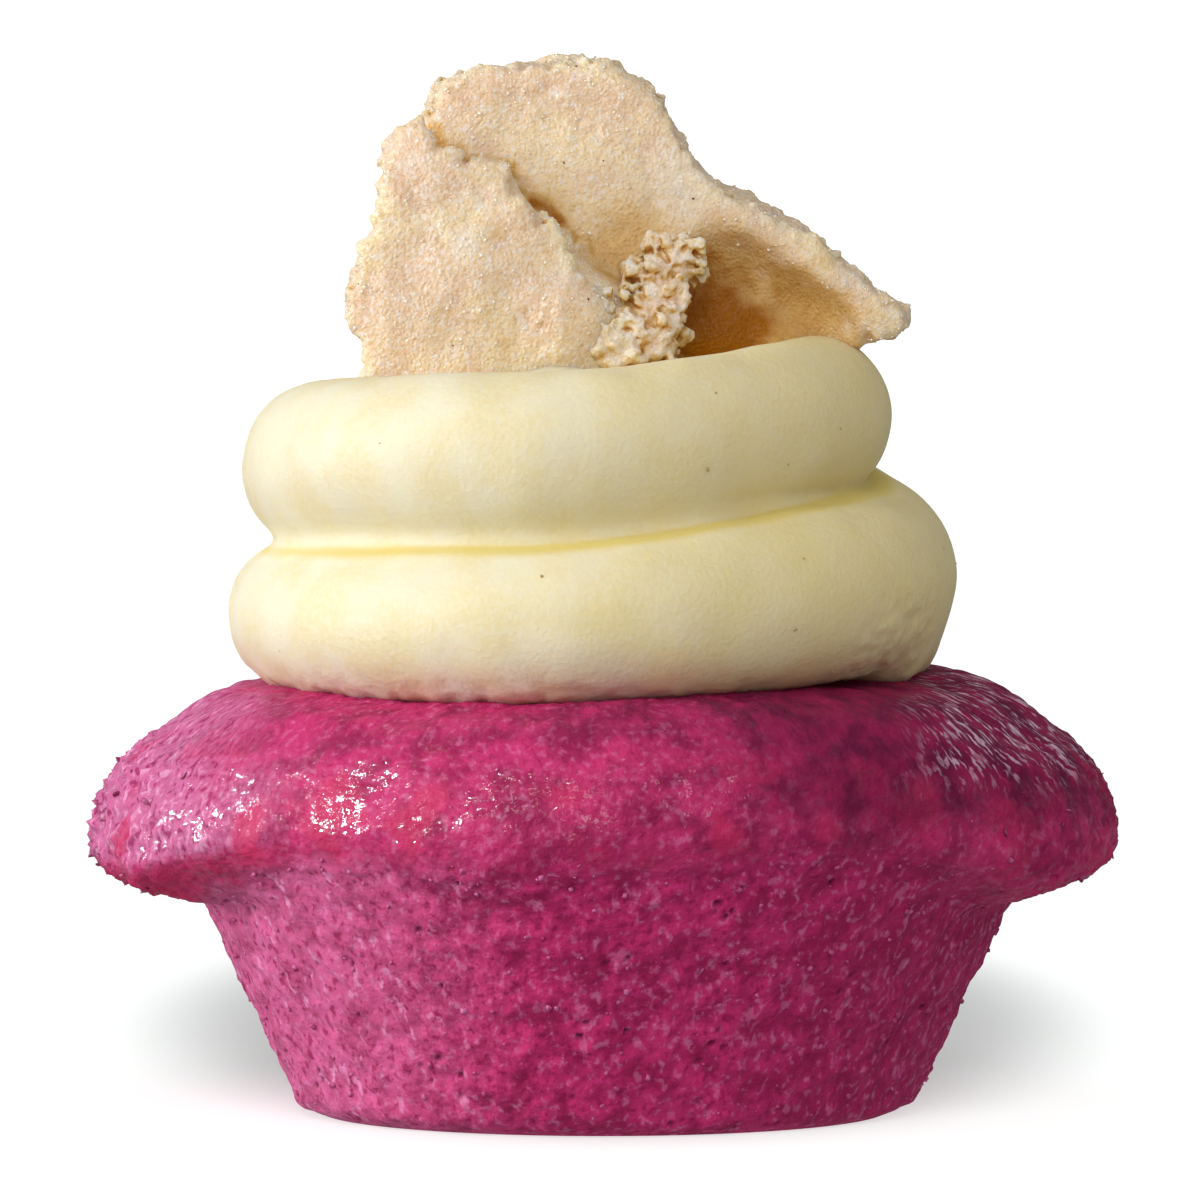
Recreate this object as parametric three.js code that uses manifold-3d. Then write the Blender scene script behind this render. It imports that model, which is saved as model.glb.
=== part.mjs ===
// A bite-size cupcake, baked without a paper case: a magenta sponge with a wide lip,
// a piped swirl of pale icing and a torn chunk of cookie dough set on top.
// Millimetres, +Z up, front towards -Y. The origin is the centre of the flat base.

import * as THREE from "three";
import { ImprovedNoise } from "three/addons/math/ImprovedNoise.js";
import { mergeVertices } from "three/addons/utils/BufferGeometryUtils.js";
import Module from "manifold-3d";

const wasm = await Module();
wasm.setup();
const perlin = new ImprovedNoise();

// Sponge outline, each point a radius and a height. The sides lean out from the base to
// a neck, over which the lip hangs. It stands out far at both sides, and at the front the
// side runs up into it with no step.
const BASE_RADIUS = 12.4;
const STAND = { edge: [13.4, 0.5], foot: [14.1, 1.7], waist: [15.6, 4.9] };
const SIDE = {
  throat: [17.0, 7.9],
  neck: [17.8, 9.4],
  under: [19.4, 9.9],
  roll: [21.7, 11.0],
  lip: [22.3, 12.1],
  brow: [21.7, 14.4],
  shoulder: [19.6, 16.7],
};
const FRONT = {
  throat: [17.5, 8.5],
  neck: [18.4, 10.3],
  under: [19.0, 11.5],
  roll: [19.7, 12.5],
  lip: [20.1, 13.6],
  brow: [19.8, 15.3],
  shoulder: [18.9, 17.0],
};
const CROWN = { icing: [16.2, 18.7], middle: [8.1, 19.8] };
const CROWN_HEIGHT = 20.1;
const SPONGE_SEGMENTS = 76;
const SPONGE_RINGS = 24;
const CRUMB_RELIEF = 0.32;
const CRUMB_SIZE = 1.5;
const SKIN_RELIEF = 0.24;
const SKIN_SIZE = 2.4;

// Slow waves round the cake or along the bead: depth, number in a turn, and start.
const SPONGE_WAVES = [[0.2, 3, 0.4], [0.1, 7, 1.8]];
const LIP_SWAY = [[0.25, 1, 0.5], [0.15, 4, 0]];
const FRONT_WAVES = [[0.07, 5, 0.8]];
const BEAD_WAVES = [[0.07, 3, 1.1], [0.05, 7, 0]];

// Where, as a share of the way round from side to front, the front outline takes over,
// and how much of it the back has.
const FRONT_BEGINS = 0.32;
const FRONT_FULL = 0.84;
const BACK_SHARE = 0.45;

// Icing: one bead from a round nozzle, wound anticlockwise seen from above.
const BEAD_START_ANGLE = -0.3;
const BEAD_TURNS = 3;
const STATIONS_PER_TURN = 46;
const BEAD_SIDES = 14;
const BEAD_CAP_RINGS = 3;
const BEAD_PIECES = 4;

// The filled middle of the icing, which the bead runs round.
const CORE_SHIFT = -0.9;
const CORE_RADIUS = 11.2;
const CORE_BOTTOM = 17.6;
const CORE_TOP_RADIUS = 8.6;
const CORE_TOP = 30.6;
const CORE_SEGMENTS = 32;

// Cookie dough
const LUMP_DETAIL = 5;
const CRUMB_DETAIL = 1;
const DOUGH_CRAG = 0.3;
const DOUGH_GRAIN = 1.3;
const DOUGH_FOLD = 0.6;
const DOUGH_FOLD_SIZE = 3.6;

const TOUCHING_GAP = 0.25;
const WELD_REACH = 1e-4;

const COLOURS = { sponge: 0xb02a66, icing: 0xefe8ae, dough: 0xe3c39a };

// A value that eases from 0 to 1 between two limits.
function ease(low, high, value) {
  const t = THREE.MathUtils.clamp((value - low) / (high - low), 0, 1);
  return t * t * (3 - 2 * t);
}

// The value at t of a smooth curve through evenly spaced knots.
function along(knots, t) {
  const x = THREE.MathUtils.clamp(t, 0, 1) * (knots.length - 1);
  const i = Math.min(Math.floor(x), knots.length - 2);
  return THREE.MathUtils.lerp(knots[i], knots[i + 1], ease(0, 1, x - i));
}

// The sum of some slow waves at an angle.
function wave(waves, angle) {
  return waves.reduce((sum, [depth, count, start]) => sum + depth * Math.sin(count * angle + start), 0);
}

// Smooth noise at a point, with lumps of a given size.
function grainAt(v, size, seed) {
  return perlin.noise(v.x / size + seed, v.y / size, v.z / size);
}

// A closed geometry as a solid, and a solid as a geometry with flat facets.
function solidOf(geometry) {
  geometry.deleteAttribute("normal");
  geometry.deleteAttribute("uv");
  const merged = mergeVertices(geometry, WELD_REACH);
  return new wasm.Manifold(
    new wasm.Mesh({
      numProp: 3,
      vertProperties: merged.attributes.position.array,
      triVerts: new Uint32Array(merged.index.array),
    }),
  );
}

function geometryOf(solid) {
  const mesh = solid.getMesh();
  const geometry = new THREE.BufferGeometry();
  geometry.setAttribute("position", new THREE.BufferAttribute(mesh.vertProperties, 3));
  geometry.setIndex(new THREE.BufferAttribute(mesh.triVerts, 1));
  geometry.computeVertexNormals();
  return geometry;
}

// Moves every vertex of a geometry to where place(vertex, index) says.
function reshape(geometry, place) {
  const position = geometry.attributes.position;
  const vertex = new THREE.Vector3();
  for (let i = 0; i < position.count; i += 1) {
    vertex.fromBufferAttribute(position, i);
    place(vertex, i);
    position.setXYZ(i, vertex.x, vertex.y, vertex.z);
  }
  return geometry;
}

// The sponge's outline from the base centre up to the crown, as radius and height.
function spongeProfile(rim) {
  const points = [[BASE_RADIUS, 0], ...Object.values(STAND), ...Object.values(rim), ...Object.values(CROWN)];
  const side = new THREE.SplineCurve(points.map((point) => new THREE.Vector2(...point)));
  return [
    new THREE.Vector2(0, 0),
    new THREE.Vector2(BASE_RADIUS / 2, 0),
    ...side.getPoints(SPONGE_RINGS),
    new THREE.Vector2(0, CROWN_HEIGHT),
  ];
}

// The share of the front outline in the sponge's outline at an angle.
function frontShare(angle) {
  const front = ease(FRONT_BEGINS, FRONT_FULL, -Math.sin(angle));
  const back = BACK_SHARE * ease(FRONT_BEGINS, 1, Math.sin(angle));
  return THREE.MathUtils.clamp(front + back + wave(FRONT_WAVES, angle), 0, 1);
}

// The sponge with its uneven lip and its relief, grown outwards by some clearance. The
// base stays flat and true.
function sponge(clearance) {
  const side = spongeProfile(SIDE);
  const front = spongeProfile(FRONT);
  const geometry = new THREE.LatheGeometry(side, SPONGE_SEGMENTS);
  geometry.rotateX(Math.PI / 2);
  return reshape(geometry, (v, i) => {
    const ring = i % side.length;
    const angle = Math.atan2(v.y, v.x);
    const outline = side[ring].clone().lerp(front[ring], frontShare(angle));
    const high = ease(SIDE.neck[1], SIDE.lip[1], outline.y);
    const free = ease(0, STAND.foot[1], outline.y) * ease(0, BASE_RADIUS / 2, outline.x);
    const crumb = CRUMB_RELIEF * grainAt(v, CRUMB_SIZE, 0);
    const skin = SKIN_RELIEF * grainAt(v, SKIN_SIZE, 9);
    const relief = THREE.MathUtils.lerp(crumb, skin, high);
    const radius = outline.x + free * (wave(SPONGE_WAVES, angle) + relief + clearance);
    v.x = radius * Math.cos(angle);
    v.y = radius * Math.sin(angle);
    v.z = outline.y + high * (free * wave(LIP_SWAY, angle) + clearance);
  });
}

// The bead at a share t of its run, from knots a quarter turn apart, which lie in turn
// at the right, back, left and front: its centre, half width and half height.
const BEAD = {
  radius: [12.0, 12.6, 12.6, 12.7, 12.4, 11.4, 10.8, 10.9, 10.9, 9.4, 6.6, 4.6, 3.1],
  height: [20.95, 21.55, 21.75, 21.85, 23.25, 26.55, 28.25, 29.05, 30.45, 31.15, 31.15, 30.95, 30.35],
  shift: [0, -0.2, -0.35, -0.4, -0.4, -1.2, -1.55, -1.6, -1.6, -1.4, -1.3, -1.3, -1.3],
  halfWidth: [2.6, 3.5, 3.5, 3.6, 3.6, 3.5, 3.5, 3.5, 3.4, 3.3, 3.2, 3.0, 2.6],
  halfHeight: [2.3, 3.3, 3.3, 3.5, 4.0, 3.8, 3.65, 3.7, 3.55, 3.1, 2.8, 2.5, 2.2],
};

function beadAt(t) {
  const bead = { angle: BEAD_START_ANGLE + 2 * Math.PI * BEAD_TURNS * t };
  for (const [size, knots] of Object.entries(BEAD)) {
    bead[size] = along(knots, t);
  }
  return bead;
}

// A stretch of the bead: a capsule bent along the spiral, with its ends rounded off.
function beadStretch(from, to, clearance) {
  const stations = Math.round((to - from) * BEAD_TURNS * STATIONS_PER_TURN);
  const capsule = new THREE.CapsuleGeometry(1, stations, BEAD_CAP_RINGS, BEAD_SIDES, stations);
  return reshape(capsule, (v) => {
    const run = THREE.MathUtils.clamp(v.y, -stations / 2, stations / 2);
    const beyond = v.y - run;
    const bead = beadAt(from + (run / stations + 0.5) * (to - from));
    const radial = v.x * (bead.halfWidth + clearance + wave(BEAD_WAVES, bead.angle));
    const upright = v.z * (bead.halfHeight + clearance);
    const onward = beyond * (bead.halfWidth + clearance);
    const radius = bead.radius + radial;
    const { angle, height, shift } = bead;
    v.x = shift + radius * Math.cos(angle) - onward * Math.sin(angle);
    v.y = radius * Math.sin(angle) + onward * Math.cos(angle);
    v.z = height + upright;
  });
}

// The filled middle of the swirl.
function swirlCore(clearance) {
  const outline = [
    new THREE.Vector2(0, CORE_BOTTOM),
    new THREE.Vector2(CORE_RADIUS, CORE_BOTTOM),
    new THREE.Vector2(CORE_RADIUS, (CORE_BOTTOM + CORE_TOP) / 2),
    new THREE.Vector2(CORE_TOP_RADIUS, CORE_TOP + clearance),
    new THREE.Vector2(0, CORE_TOP + clearance),
  ];
  const geometry = new THREE.LatheGeometry(outline, CORE_SEGMENTS);
  geometry.rotateX(Math.PI / 2);
  geometry.translate(CORE_SHIFT, 0, 0);
  return geometry;
}

// The whole swirl as one solid, before it is set on the sponge.
function swirl(clearance) {
  let solid = solidOf(swirlCore(clearance));
  for (let i = 0; i < BEAD_PIECES; i += 1) {
    const stretch = beadStretch(i / BEAD_PIECES, (i + 1) / BEAD_PIECES, clearance);
    solid = solid.add(solidOf(stretch));
  }
  return solid;
}

// The lumps that the torn dough is made of. Half holds half sizes. Reach, where an outline
// isn't round, holds the distances from the lump's centre to its outline seen from the
// front, at even angles, anticlockwise from the right, and half then gives the depth alone.
const DOUGH_LUMPS = [
  {
    name: "front leaf",
    at: [-6.0, -3.8, 36.95],
    reach: [4.7, 4.1, 3.8, 4.7, 4.7, 6.6, 5.3, 4.4, 5.0, 5.7, 6.3, 5.1, 4.8, 5.2, 6.5, 6.0],
    half: [1, 2.7, 1],
    tilt: [6, 0, 8],
  },
  {
    name: "body",
    at: [0, 2.2, 37.65],
    reach: [9.6, 6.7, 5.8, 7.4, 8.2, 8.4, 10.5, 9.1, 8.2, 8.8, 7.6, 5.9, 5.2, 5.6, 6.8, 9.4],
    half: [1, 4.6, 1],
    tilt: [-8, 0, 0],
  },
  { name: "wing", at: [9.4, 0.8, 36.05], half: [4.6, 3.8, 1.7], tilt: [0, 40, -8] },
  { name: "front foot", at: [-3.6, -2.6, 34.75], half: [5.4, 4.4, 3.2], tilt: [0, 10, -8] },
  { name: "back foot", at: [-1.6, 5.4, 35.75], half: [7.4, 4.6, 4.8], tilt: [8, 4, 6] },
  { name: "back knob", at: [3.4, 4.6, 37.55], half: [5.0, 3.6, 3.6], tilt: [0, 30, 0] },
];
const DOUGH_SQUARENESS = 2.7;

// The scoop under the wing, where the dough stands clear of the icing.
const SCOOP = { at: [6.4, -4.6, 33.75], half: [4.4, 4.4, 2.8], tilt: [0, 14, 0] };

// Crumbs that fill the cleft between leaf and body: the run they lie along, their sizes,
// the steps from one crumb to the next across, in depth and in size, each a share of its
// range, and the degrees that each is turned further than the last.
const CLEFT = {
  from: [0.2, -4.4, 37.75],
  to: [3.0, -4.4, 33.95],
  crumbs: 12,
  spread: 1.6,
  size: 1.3,
  smallest: 0.7,
  range: 0.6,
  flatness: 0.8,
  steps: { across: 0.618, deep: 0.382, size: 0.27 },
  turns: [40, 65],
};

// The distance from a lump's centre to its skin in a direction.
function skinDistance(lump, v) {
  const [a, b, c] = lump.half;
  const n = DOUGH_SQUARENESS;
  let flat = (Math.abs(v.x / a) ** n + Math.abs(v.z / c) ** n) ** (1 / n);
  if (lump.reach) {
    const around = (Math.atan2(v.z, v.x) / (2 * Math.PI) + 1) % 1;
    flat = Math.hypot(v.x, v.z) / along([...lump.reach, lump.reach[0]], around);
  }
  return (flat ** n + Math.abs(v.y / b) ** n) ** (-1 / n);
}

// One lump, tilted and roughened into crags.
function doughLump(lump, detail) {
  const tilt = new THREE.Euler(...lump.tilt.map(THREE.MathUtils.degToRad));
  const centre = new THREE.Vector3(...lump.at);
  return reshape(new THREE.IcosahedronGeometry(1, detail), (v) => {
    v.multiplyScalar(skinDistance(lump, v)).applyEuler(tilt);
    const outward = v.clone().normalize();
    v.add(centre);
    const crag = DOUGH_CRAG * grainAt(v, DOUGH_GRAIN, 0);
    const fold = DOUGH_FOLD * grainAt(v, DOUGH_FOLD_SIZE, 5);
    v.addScaledVector(outward, crag + fold);
  });
}

// The crumbs in the cleft, spread along it by a golden-ratio rule.
function cleftCrumbs() {
  const { steps, turns } = CLEFT;
  const from = new THREE.Vector3(...CLEFT.from);
  const to = new THREE.Vector3(...CLEFT.to);
  return Array.from({ length: CLEFT.crumbs }, (_, i) => {
    const at = from.clone().lerp(to, i / (CLEFT.crumbs - 1));
    at.x += CLEFT.spread * (((i * steps.across) % 1) * 2 - 1);
    at.y += CLEFT.spread * (((i * steps.deep) % 1) - 0.5);
    const size = CLEFT.size * (CLEFT.smallest + CLEFT.range * ((i * steps.size) % 1));
    return {
      at: at.toArray(),
      half: [size, size, CLEFT.flatness * size],
      tilt: [turns[0] * i, turns[1] * i, 0],
    };
  });
}

function doughChunk() {
  const lumps = DOUGH_LUMPS.map((lump) => doughLump(lump, LUMP_DETAIL));
  const crumbs = cleftCrumbs().map((crumb) => doughLump(crumb, CRUMB_DETAIL));
  const joined = [...lumps, ...crumbs].map(solidOf).reduce((all, one) => all.add(one));
  return joined.subtract(solidOf(doughLump(SCOOP, LUMP_DETAIL)));
}

// The largest single body of a solid, without loose scraps.
function mainBody(solid) {
  return solid.decompose().sort((a, b) => b.volume() - a.volume())[0];
}

function part(name, geometry, colour, roughness) {
  const material = new THREE.MeshStandardMaterial({ color: colour, roughness, metalness: 0 });
  const mesh = new THREE.Mesh(geometry, material);
  mesh.name = name;
  return mesh;
}

const icingSolid = mainBody(swirl(0).subtract(solidOf(sponge(TOUCHING_GAP))));
const doughSolid = mainBody(doughChunk().subtract(swirl(TOUCHING_GAP)));

const cupcake = new THREE.Group();
cupcake.add(part("sponge", sponge(0), COLOURS.sponge, 0.55));
cupcake.add(part("icing", geometryOf(icingSolid), COLOURS.icing, 0.5));
cupcake.add(part("dough_chunk", geometryOf(doughSolid), COLOURS.dough, 0.7));

export default cupcake;
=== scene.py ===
"""Dresses a bite-size cupcake: magenta sponge, piped pale icing and torn cookie dough.

Shapes are worked out in millimetres, in the frame of the solids they stand for, and the
meshes are built in metres. The front faces -Y and +X is to the right.
"""

import itertools
import logging
import math
from collections.abc import Callable
from dataclasses import dataclass
from enum import Enum

import bmesh
import bpy
import numpy as np
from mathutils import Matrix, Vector


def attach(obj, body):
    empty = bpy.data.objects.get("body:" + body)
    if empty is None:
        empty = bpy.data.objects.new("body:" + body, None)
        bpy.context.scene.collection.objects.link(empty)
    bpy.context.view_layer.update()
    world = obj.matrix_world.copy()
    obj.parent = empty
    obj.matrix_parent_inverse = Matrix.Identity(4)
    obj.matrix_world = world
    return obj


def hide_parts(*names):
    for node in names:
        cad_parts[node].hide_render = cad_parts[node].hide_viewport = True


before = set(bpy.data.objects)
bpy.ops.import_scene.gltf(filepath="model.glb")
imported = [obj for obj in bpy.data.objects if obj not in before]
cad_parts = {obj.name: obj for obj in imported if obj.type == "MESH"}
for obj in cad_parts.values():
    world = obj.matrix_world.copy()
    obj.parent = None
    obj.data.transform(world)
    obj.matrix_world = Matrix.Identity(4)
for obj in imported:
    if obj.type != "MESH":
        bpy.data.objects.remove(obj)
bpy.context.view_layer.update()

LOG = logging.getLogger("cupcake")
MM = 0.001
BODY = "root"
UNROLLED = "unrolled"
FAR = 9.0
TINY = 1e-9
JUST_INSIDE = 1.001
EVEN = (1, 1, 1)
CRYSTAL_WIDTH = 0.8
FLAKE_SHAPE = (1.3, 0.9, 0.22)

Array = np.ndarray
Span = tuple[float, float]
Triple = tuple[float, float, float]
Colour = tuple[float, float, float, float]
Socket = bpy.types.NodeSocket
Value = Socket | float | Triple | Colour
Shape = Callable[[Array], Array]
Window = tuple[slice, slice, slice]


def ease(low: float, high: float, value: Array) -> Array:
    """A value that eases from 0 at low to 1 at high."""
    share = np.clip((np.asarray(value, float) - low) / (high - low), 0, 1)
    return share * share * (3 - 2 * share)


def along(knots: tuple[float, ...], share: Array) -> Array:
    """Follows evenly spaced knots, easing from each to the next.

    Args:
        knots: The values at the knots.
        share: How far along the run, from 0 to 1.

    Returns:
        The value at each share.
    """
    values = np.asarray(knots, float)
    place = np.clip(share, 0, 1) * (len(values) - 1)
    step = np.minimum(place.astype(int), len(values) - 2)
    return values[step] + (values[step + 1] - values[step]) * ease(0, 1, place - step)


def wave(waves: tuple[Triple, ...], angle: Array) -> Array:
    """The sum of slow waves, each a depth, a number in a turn and a start."""
    return sum(depth * np.sin(count * angle + start) for depth, count, start in waves)


def join(first: Array, second: Array, blend: float) -> Array:
    """Joins the distances to two shapes, with a soft seam as wide as the blend."""
    soft = np.clip(blend - np.abs(first - second), 0, None) ** 2 / (4 * blend)
    return np.minimum(first, second) - soft


def read(field: Array, place: Array) -> Array:
    """Reads a grid of values between its cells.

    Args:
        field: The values on the grid.
        place: Places in the grid, counted in cells, one to a row.

    Returns:
        The value at each place.
    """
    place = np.clip(place, 0, np.array(field.shape) - JUST_INSIDE)
    cell = place.astype(int)
    inner = place - cell
    total = np.zeros(len(place))
    for corner in itertools.product((0, 1), repeat=field.ndim):
        weight = np.prod(np.where(corner, inner, 1 - inner), axis=1)
        total += weight * field[tuple((cell + corner).T)]
    return total


def paint(code: str) -> Colour:
    """Turns a hex colour, as the eye sees it, into the linear colour that a shader takes.

    Args:
        code: Six hex digits.

    Returns:
        Red, green, blue and alpha.
    """
    parts = [int(code[i : i + 2], 16) / 255 for i in (0, 2, 4)]
    linear = [p / 12.92 if p <= 0.04045 else ((p + 0.055) / 1.055) ** 2.4 for p in parts]
    return (*linear, 1.0)


class Grain:
    """Smooth seeded noise in space, and seeded seats like the bubbles of a foam."""

    ROWS = 256
    LOUDNESS = 1.7

    def __init__(self, seed: int) -> None:
        """Draws the tables that the noise is made from.

        Args:
            seed: The seed of the draws.
        """
        rng = np.random.default_rng(seed)
        self.order = rng.permutation(self.ROWS)
        slopes = rng.normal(size=(self.ROWS, 3))
        self.slopes = slopes / np.linalg.norm(slopes, axis=1, keepdims=True)
        self.seats = rng.random((self.ROWS, 3))

    def _pick(self, cell: Array) -> Array:
        """Finds the table row that belongs to each cell of space.

        Args:
            cell: The cells' whole numbers along the axes, one cell to a row.

        Returns:
            The number of each one's table row.
        """
        last = self.ROWS - 1
        first = self.order[cell[:, 0] & last]
        second = self.order[(first + cell[:, 1]) & last]
        return self.order[(second + cell[:, 2]) & last]

    def at(self, spots: Array, size: float) -> Array:
        """Smooth noise from about -1 to 1.

        Args:
            spots: Points, one to a row.
            size: The size of the noise's lumps, in the points' unit.

        Returns:
            The noise at each point.
        """
        place = spots / size
        cell = np.floor(place).astype(int)
        inner = place - cell
        fade = inner**3 * (inner * (inner * 6 - 15) + 10)
        total = np.zeros(len(spots))
        for corner in itertools.product((0, 1), repeat=3):
            slope = self.slopes[self._pick(cell + corner)]
            weight = np.prod(np.where(corner, fade, 1 - fade), axis=1)
            total += weight * ((inner - corner) * slope).sum(axis=1)
        return total * self.LOUDNESS

    def layers(self, spots: Array, layers: tuple[Span, ...]) -> Array:
        """The sum of several layers of noise, each a depth and the size of its lumps."""
        return sum(depth * self.at(spots, size) for depth, size in layers)

    def nearest(self, spots: Array, size: float) -> Array:
        """The distance to the nearest of some scattered seats.

        Args:
            spots: Points, one to a row.
            size: The mean distance between seats.

        Returns:
            The distance from each point, in sizes.
        """
        place = spots / size
        cell = np.floor(place).astype(int)
        near = np.full(len(spots), FAR)
        for offset in itertools.product((-1, 0, 1), repeat=3):
            seat = cell + offset
            gap = np.linalg.norm(seat + self.seats[self._pick(seat)] - place, axis=1)
            near = np.minimum(near, gap)
        return near


class Block:
    """A block of small cells that holds distances to a shape, negative inside it."""

    def __init__(self, low: Triple, high: Triple, cell: float) -> None:
        """Makes an empty block.

        Args:
            low: Its lowest corner.
            high: Its highest corner.
            cell: The width of a cell.
        """
        self.low = np.asarray(low, float)
        self.cell = cell
        self.counts = np.ceil((np.asarray(high) - self.low) / cell).astype(int) + 1
        self.gaps = np.full(self.counts, FAR)

    def _window(self, middle: Triple | None, reach: float) -> Window:
        """The part of the block that a shape can touch.

        Args:
            middle: The shape's centre, or nothing for the whole block.
            reach: How far the part goes from there along each axis.

        Returns:
            The slices of the block.
        """
        if middle is None:
            return tuple(slice(0, n) for n in self.counts)
        first = np.floor((np.asarray(middle) - reach - self.low) / self.cell).astype(int)
        last = np.ceil((np.asarray(middle) + reach - self.low) / self.cell).astype(int) + 1
        first, last = np.clip(first, 0, self.counts), np.clip(last, 0, self.counts)
        return tuple(slice(a, b) for a, b in zip(first, last))

    def _spots(self, window: Window) -> Array:
        """The points of a window of the block, one to a row."""
        axes = [self.low[i] + self.cell * np.arange(self.counts[i])[window[i]] for i in range(3)]
        return np.stack(np.meshgrid(*axes, indexing="ij"), axis=-1).reshape(-1, 3)

    def add(self, shape: Shape, blend: float, middle: Triple | None = None, reach: float = 0) -> None:
        """Joins a shape on, with a soft seam.

        Args:
            shape: Gives the distance to the shape at points.
            blend: The width of the soft seam.
            middle: The shape's centre, if it doesn't matter to the whole block.
            reach: The furthest that it matters from its centre.
        """
        window = self._window(middle, reach)
        old = self.gaps[window]
        self.gaps[window] = join(old, shape(self._spots(window)).reshape(old.shape), blend)

    def cut(self, shape: Shape, blend: float, middle: Triple | None = None, reach: float = 0) -> None:
        """Takes a shape away, with a soft edge.

        Args:
            shape: Gives the distance to the shape at points.
            blend: The width of the soft edge.
            middle: The shape's centre, if it doesn't matter to the whole block.
            reach: The furthest that it matters from its centre.
        """
        window = self._window(middle, reach)
        old = self.gaps[window]
        self.gaps[window] = -join(-old, shape(self._spots(window)).reshape(old.shape), blend)

    def roughen(self, relief: Shape, band: float) -> None:
        """Raises the surface by a relief.

        Args:
            relief: Gives the relief's height at points.
            band: How near to the surface the relief is worked out.
        """
        close = np.abs(self.gaps) < band
        spots = self.low + self.cell * np.argwhere(close)
        self.gaps[close] -= relief(spots)

    def sample(self, spots: Array) -> Array:
        """The distance to the surface at any points, one to a row."""
        return read(self.gaps, (spots - self.low) / self.cell)

    def slopes(self, spots: Array) -> Array:
        """The outward directions at points near the surface.

        Args:
            spots: Points, one to a row.

        Returns:
            A unit vector for each.
        """
        steps = np.eye(3) * self.cell
        slope = np.stack([self.sample(spots + s) - self.sample(spots - s) for s in steps], axis=1)
        return slope / np.maximum(np.linalg.norm(slope, axis=1, keepdims=True), TINY)

    def hollows(self, spots: Array, slopes: Array, look: float) -> Array:
        """How enclosed each point is, from 0 in the open to 1 deep in a crease."""
        return np.clip(1 - self.sample(spots + slopes * look) / look, 0, 1)

    def skin(self) -> tuple[Array, Array]:
        """The surface as points and four-sided faces.

        Returns:
            The points, one to a row, and the faces as rows of point numbers.
        """
        inside = self.gaps < 0
        inner = tuple(n - 1 for n in self.counts)
        corners = list(itertools.product((0, 1), repeat=3))
        count = sum(
            inside[i : i + inner[0], j : j + inner[1], k : k + inner[2]].astype(int)
            for i, j, k in corners
        )
        used = (count > 0) & (count < len(corners))
        cells = np.argwhere(used)
        number = np.full(inner, -1)
        number[used] = np.arange(len(cells))
        return self._crossings(cells), self._faces(inside, number)

    def _crossings(self, cells: Array) -> Array:
        """The mean point where the surface crosses the edges of each used cell.

        Args:
            cells: The cells' whole numbers along the axes, one cell to a row.

        Returns:
            One point for each cell.
        """
        total = np.zeros((len(cells), 3))
        crossed = np.zeros(len(cells))
        for axis in range(3):
            for start in itertools.product((0, 1), repeat=3):
                if start[axis]:
                    continue
                end = [v + (i == axis) for i, v in enumerate(start)]
                first = self.gaps[tuple((cells + start).T)]
                second = self.gaps[tuple((cells + end).T)]
                crosses = (first < 0) != (second < 0)
                spot = np.tile(np.array(start, float), (len(cells), 1))
                spot[:, axis] = first / np.where(crosses, first - second, 1)
                total += spot * crosses[:, None]
                crossed += crosses
        return self.low + self.cell * (cells + total / crossed[:, None])

    @staticmethod
    def _faces(inside: Array, number: Array) -> Array:
        """One face for each cell edge that the surface crosses.

        Args:
            inside: Whether each corner of the block's cells is inside the shape.
            number: The number of the point in each cell.

        Returns:
            Rows of four point numbers, facing outwards.
        """
        faces = []
        for axis in range(3):
            side, up = (axis + 1) % 3, (axis + 2) % 3
            step = np.eye(3, dtype=int)
            first = np.take(inside, range(inside.shape[axis] - 1), axis)
            second = np.take(inside, range(1, inside.shape[axis]), axis)
            edges = np.argwhere(first != second)
            free = (edges[:, side] > 0) & (edges[:, up] > 0)
            free &= (edges[:, side] < number.shape[side]) & (edges[:, up] < number.shape[up])
            edges = edges[free]
            ring = [edges - step[side] - step[up], edges - step[up], edges, edges - step[side]]
            quads = np.stack([number[tuple(cell.T)] for cell in ring], axis=1)
            outward = inside[tuple(edges.T)]
            faces.append(np.where(outward[:, None], quads, quads[:, ::-1]))
        return np.concatenate(faces)


def build_piece(
    name: str,
    spots: Array,
    faces: list[list[int]] | Array,
    zones: dict[str, Array] | None = None,
) -> bpy.types.Object:
    """Makes a smooth-shaded mesh object.

    Args:
        name: The piece's name.
        spots: Its points in millimetres.
        faces: Its faces, as rows of point numbers.
        zones: Named values at each point, for the finish to read.

    Returns:
        The new object, in the scene.
    """
    mesh = bpy.data.meshes.new(name)
    rows = faces.tolist() if isinstance(faces, np.ndarray) else faces
    mesh.from_pydata((spots * MM).tolist(), [], rows)
    mesh.validate()
    mesh.polygons.foreach_set("use_smooth", np.ones(len(mesh.polygons), bool))
    for zone, values in (zones or {}).items():
        kind, field = ("FLOAT_VECTOR", "vector") if values.ndim > 1 else ("FLOAT", "value")
        layer = mesh.attributes.new(zone, kind, "POINT")
        layer.data.foreach_set(field, np.asarray(values, np.float32).ravel())
    mesh.update()
    piece = bpy.data.objects.new(name, mesh)
    bpy.context.scene.collection.objects.link(piece)
    return piece


def dress(
    piece: bpy.types.Object, material: bpy.types.Material, stands_for: str = ""
) -> None:
    """Gives a piece its finish and ties it to the solids.

    Args:
        piece: The piece.
        material: Its finish.
        stands_for: The solid that it is shown in place of, if any.
    """
    piece.data.materials.append(material)
    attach(piece, BODY)
    if stands_for:
        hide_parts(stands_for)
    LOG.info("%s: %d points, %d faces", piece.name, len(piece.data.vertices), len(piece.data.polygons))


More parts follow.
